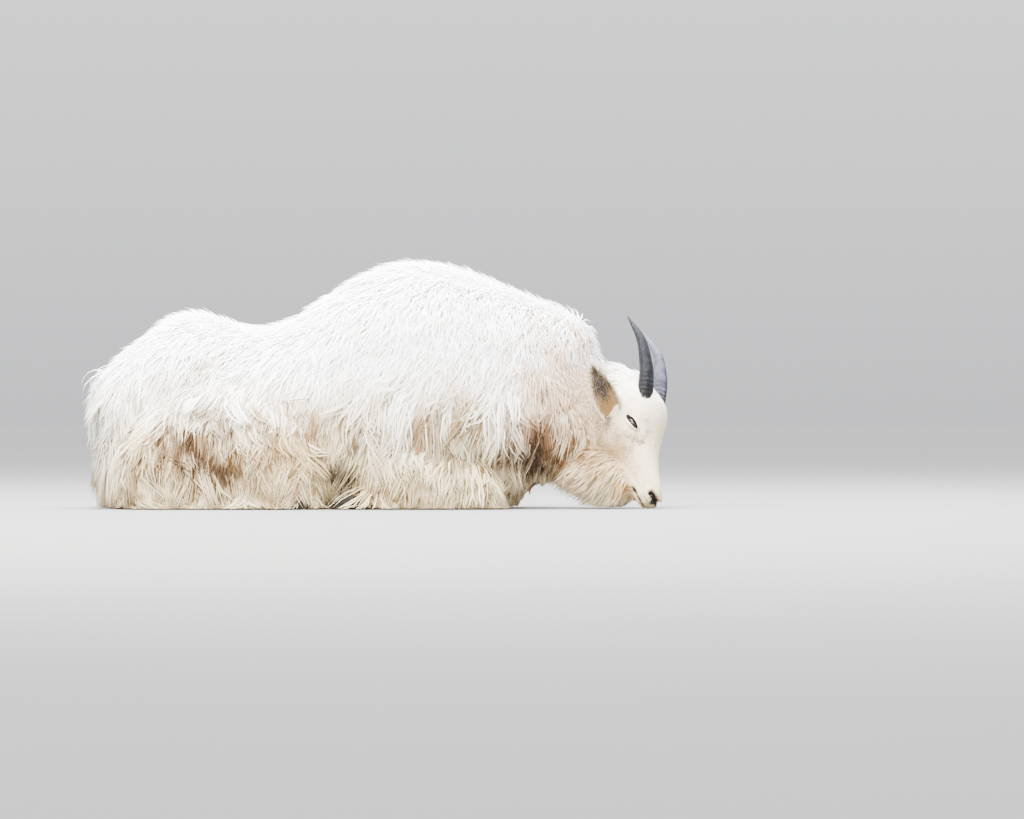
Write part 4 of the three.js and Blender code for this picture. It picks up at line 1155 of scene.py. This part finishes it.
def earRing(run, hand):
    # one ring round the ear's leaf, over its back and inside its cup, and what the shader reads there
    base, reach, across, out = earWays(hand)
    leaf = 0.58 + 0.42 * math.sin(math.pi * min(1, run * 0.95 + 0.2)) ** 0.8
    tip = math.sqrt(max(0.004, 1 - max(0, (run - 0.5) / 0.5) ** 1.7))
    half = 0.5 * ear["width"] * leaf * tip
    deep = ear["cup"] * (1 - 0.75 * run)
    spread = math.pi * (1.25 - 0.30 * run)
    start = base + reach * (-ear["sunk"] + (ear["length"] + ear["sunk"]) * run)
    shares = np.linspace(-0.5, 0.5, ear["columns"])
    ring, facts = [], []
    for inset, line in ((0, shares), (ear["thick"], shares[::-1])):
        for share in line:
            curl = 0.0022 * math.sin(run * 9) * abs(share)
            wide = math.sin(share * spread) * max(half - inset, ear["least"])
            back = math.cos(share * spread) * max(deep - inset, ear["least"]) + curl
            ring.append(start + across * wide - out * back)
            facts.append((run, share * 2, inset > 0))
    return ring, facts


def makeEar(name, hand, material):
    made = [earRing(run, hand) for run in np.linspace(0, 1, ear["rows"]) ** 0.9]
    rings = np.array([ring for ring, _ in made])
    facts = np.array([fact for _, ringFacts in made for fact in ringFacts] + [(0, 0, 0), (1, 0, 0)], float)
    piece = ringPiece(name, rings, rings[0].mean(axis=0), rings[-1].mean(axis=0))
    tagPoints(piece.data, dict(zip(earFacts, facts.T)))
    return dressed(piece, material)


def earMaterial(name, tufted):
    shader = Shader(bpy.data.materials.new(name))
    run, across, inside = (shader.attribute(key) for key in earFacts)
    fine = shader.noise(shader.place(), 160.0, 3.0)
    edge = across.maths("ABSOLUTE", across)
    low = (run + (fine - 0.5) * 0.2).between(0.52, 0.28)
    cup = shader.mix(low, "4a3722", "a07840")
    streak = (edge + (fine - 0.5) * 0.35).between(0.34, 0.08) * run.between(0.12, 0.35)
    cup = shader.mix(streak * 0.85, cup, "1e120a")
    cup = shader.mix(run.between(0.62, 0.9) * 0.7, cup, "33261a")
    cup = shader.mix((edge + (fine - 0.5) * 0.2).between(0.78, 0.96) * 0.75, cup, "d2c19d")
    back = shader.mix(run.between(0.35, 0.8), "efe7d8", "a08c6c")
    shade = shader.mix(inside, back, cup)
    if tufted:
        shade = shader.mix(shader.attribute("tone").between(0.3, 0.9) * 0.18, shade, "e6dac2")
    return shader.set(Base_Color=shade, Roughness=0.85, Sheen_Weight=0.15,
                      Normal=shader.bump(fine, 0.0008, 0.4))


earHairKind = {"tufts": 3000, "rings": 2, "together": 12, "spread": 0.008}
earHairSizes = {"width": 0.0016, "clump": 0.3, "droop": 0.05, "wave": 0.0004}


def earHair(piece, name, hand, material):
    # short hair over an ear, longer along its rim and in its cup
    mesh, count = piece.data, earHairKind["tufts"]
    points, normals, places = sampleRoots(piece, count, lambda at, out: np.ones(len(at)))
    nearest = nearestOf(readVerts(mesh)[0], points)
    facts = {}
    for key in earFacts:
        values = np.empty(len(mesh.vertices), np.float32)
        mesh.attributes[key].data.foreach_get("value", values)
        facts[key] = values[nearest]
    _, reach, across, _ = earWays(hand)
    rim = ease(np.abs(facts["earAcross"]), 0.7, 0.95)
    way = square(reach + 0.35 * facts["earAcross"][:, None] * across, normals)
    length = (0.008 + 0.006 * rim + 0.004 * facts["earInside"]) * rng.uniform(0.7, 1.2, count)
    plan = {"way": way, "length": length, "lift": 0.22 + 0.25 * rim}
    plan.update({key: np.full(count, size) for key, size in earHairSizes.items()})
    *solids, _ = tuftSolids(points, normals, plan, earHairKind)
    facts["tone"] = rng.random(count)
    return tuftPiece(name, solids, places, facts, earHairKind["rings"], material)


hoof = {"length": 0.066, "height": 0.040, "width": 0.024, "between": 0.003, "floor": 0.0002}


def makeHoof(name, place, hand, inner, material):
    heel, middle, forward = foot[place]
    rows = [(share * hoof["length"], hoof["height"] * (1 - 0.42 * share), hoof["height"] * 0.3,
             hoof["width"] / 2 * (1 - 0.25 * share * share), sunk) for share in (0, 0.35, 0.75, 1)]
    side = middle * hand + inner * (hoof["width"] + hoof["between"]) / 2

    def onFoot(points):
        along, across, up = np.moveaxis(np.asarray(points, float), -1, 0)
        return np.stack([heel + forward * along, across + side, np.maximum(up, hoof["floor"])], -1)

    rings = formRings({"ends": (0.008, 0.022), "rows": rows}, 30, 32, blunt=2.2)
    piece = ringPiece(name, *(onFoot(part) for part in rings))
    return dressed(piece, material)


def hoofMaterial():
    shader = Shader(bpy.data.materials.new("hoof"))
    place = shader.place()
    rings = shader.noise(place, (40.0, 40.0, 420.0), 2.0)
    dust = shader.noise(place, 60.0, 4.0)
    shade = shader.mix(rings.between(0.35, 0.7), "0f0d0c", "231e1a")
    shade = shader.mix(dust.between(0.5, 0.75) * 0.4, shade, "4c4134")
    return shader.set(Base_Color=shade, Roughness=0.60 + dust * 0.2, Normal=shader.bump(rings, 0.0008, 0.6),
                      Specular_IOR_Level=0.15)


# The whole animal

skin = makeSkin()
furred = len(skin.data.polygons)
skin = joined("skin", [skin, makeLids(1), makeLids(-1)])
skin["furred"] = furred
unwrapped(skin)
tagPoints(skin.data, {"dark": darkAt(readVerts(skin.data)[0])})
skin.data.materials.clear()
skin.data.materials.append(coatMaterial("skin", False))
fleshNodes = ["torso", "neck", "head", "tail"] + [f"leg_{place}_{side}" for place in ("fore", "hind")
                                                  for side in ("right", "left")]
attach(skin, "root")
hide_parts(*fleshNodes)
print("skin faces", len(skin.data.polygons))

for piece in growCoat(skin, coatMaterial("coat", True)):
    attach(piece, "root")
    print(piece.name, len(piece.data.polygons))

hornShade, eyeShade, hoofShade = hornMaterial(), eyeMaterial(), hoofMaterial()
earShade, earHairShade = earMaterial("ear", False), earMaterial("ear_hair", True)
for side, hand in (("right", 1), ("left", -1)):
    made = [(makeHorn(f"horn_{side}_grown", hand, hornShade), f"horn_{side}", "horn"),
            (makeEye(f"eye_{side}_ball", hand, eyeShade), f"eye_{side}", "eye"),
            (makeEar(f"ear_{side}_leaf", hand, earShade), f"ear_{side}", "ear")]
    for place in ("fore", "hind"):
        for edge, inner in (("outer", -hand), ("inner", hand)):
            made.append((makeHoof(f"hoof_{place}_{side}_{edge}_horn", place, -hand, inner, hoofShade),
                         f"hoof_{place}_{side}_{edge}", "hoof"))
    for piece, node, slot in made:
        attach(piece, "root")
        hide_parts(node)
    leaf = made[2][0]
    unwrapped(leaf)
    tufts = earHair(leaf, f"ear_{side}_hair", hand, earHairShade)
    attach(tufts, "root")
print("horns, eyes, ears and hooves")


# The floor, the light and the camera

studio = {"floor": 60.0, "floorShades": ("6f6e6c", "737270"), "sky": 6.2, "horizon": 0.935,
          "skyShade": "fafbff"}
camera = {"lens": 179.5, "sensor": 36, "far": 200, "at": (0.3137, -12.0, 0.2315)}
# Each light's place, aim, size, power and shade
lights = {
    "key": ((-1.2, -4.0, 3.8), (0, 0, 0.2), 3.6, 1500, "fffaf2"),
    "top": ((0.2, 0.5, 4.8), (0, 0, 0.3), 4.4, 2500, "f8faff"),
    "side": ((-4.6, -0.6, 2.4), (-0.5, 0, 0.2), 3.0, 420, "f8faff"),
}


def makeFloor():
    bpy.ops.mesh.primitive_circle_add(vertices=96, radius=studio["floor"], fill_type="NGON")
    floor = bpy.context.object
    floor.name = "floor"
    shader = Shader(bpy.data.materials.new("floor"))
    shade = shader.mix(shader.noise(shader.place(), 3.0, 2.0), *studio["floorShades"])
    floor.data.materials.append(shader.set(Base_Color=shade, Roughness=0.9))


def makeLight(name, at, aim, size, energy, shade):
    lamp = bpy.data.lights.new(name, "AREA")
    lamp.shape = "DISK"
    lamp.size, lamp.energy, lamp.color = size, energy, colour(shade)[:3]
    holder = inScene(name, lamp)
    holder.location = at
    holder.rotation_euler = (Vector(aim) - Vector(at)).to_track_quat("-Z", "Y").to_euler()


def makeWorld():
    # an even grey sky, brighter overhead and as dark as the floor where the two meet
    shader = Shader(bpy.data.worlds.new("studio"))
    height = shader.part(shader.node("ShaderNodeTexCoord"), 2)
    strength = height.larger(0.0) * (studio["sky"] - studio["horizon"]) + studio["horizon"]
    bpy.context.scene.world = shader.set(Color=studio["skyShade"], Strength=strength)


def makeCamera():
    lens = bpy.data.cameras.new("camera")
    lens.lens, lens.sensor_width, lens.clip_end = camera["lens"], camera["sensor"], camera["far"]
    holder = inScene("camera", lens)
    holder.location = camera["at"]
    holder.rotation_euler = (math.pi / 2, 0, 0)
    bpy.context.scene.camera = holder


makeFloor()
makeWorld()
for name, settings in lights.items():
    makeLight(name, *settings)
makeCamera()
print("floor, light and camera")
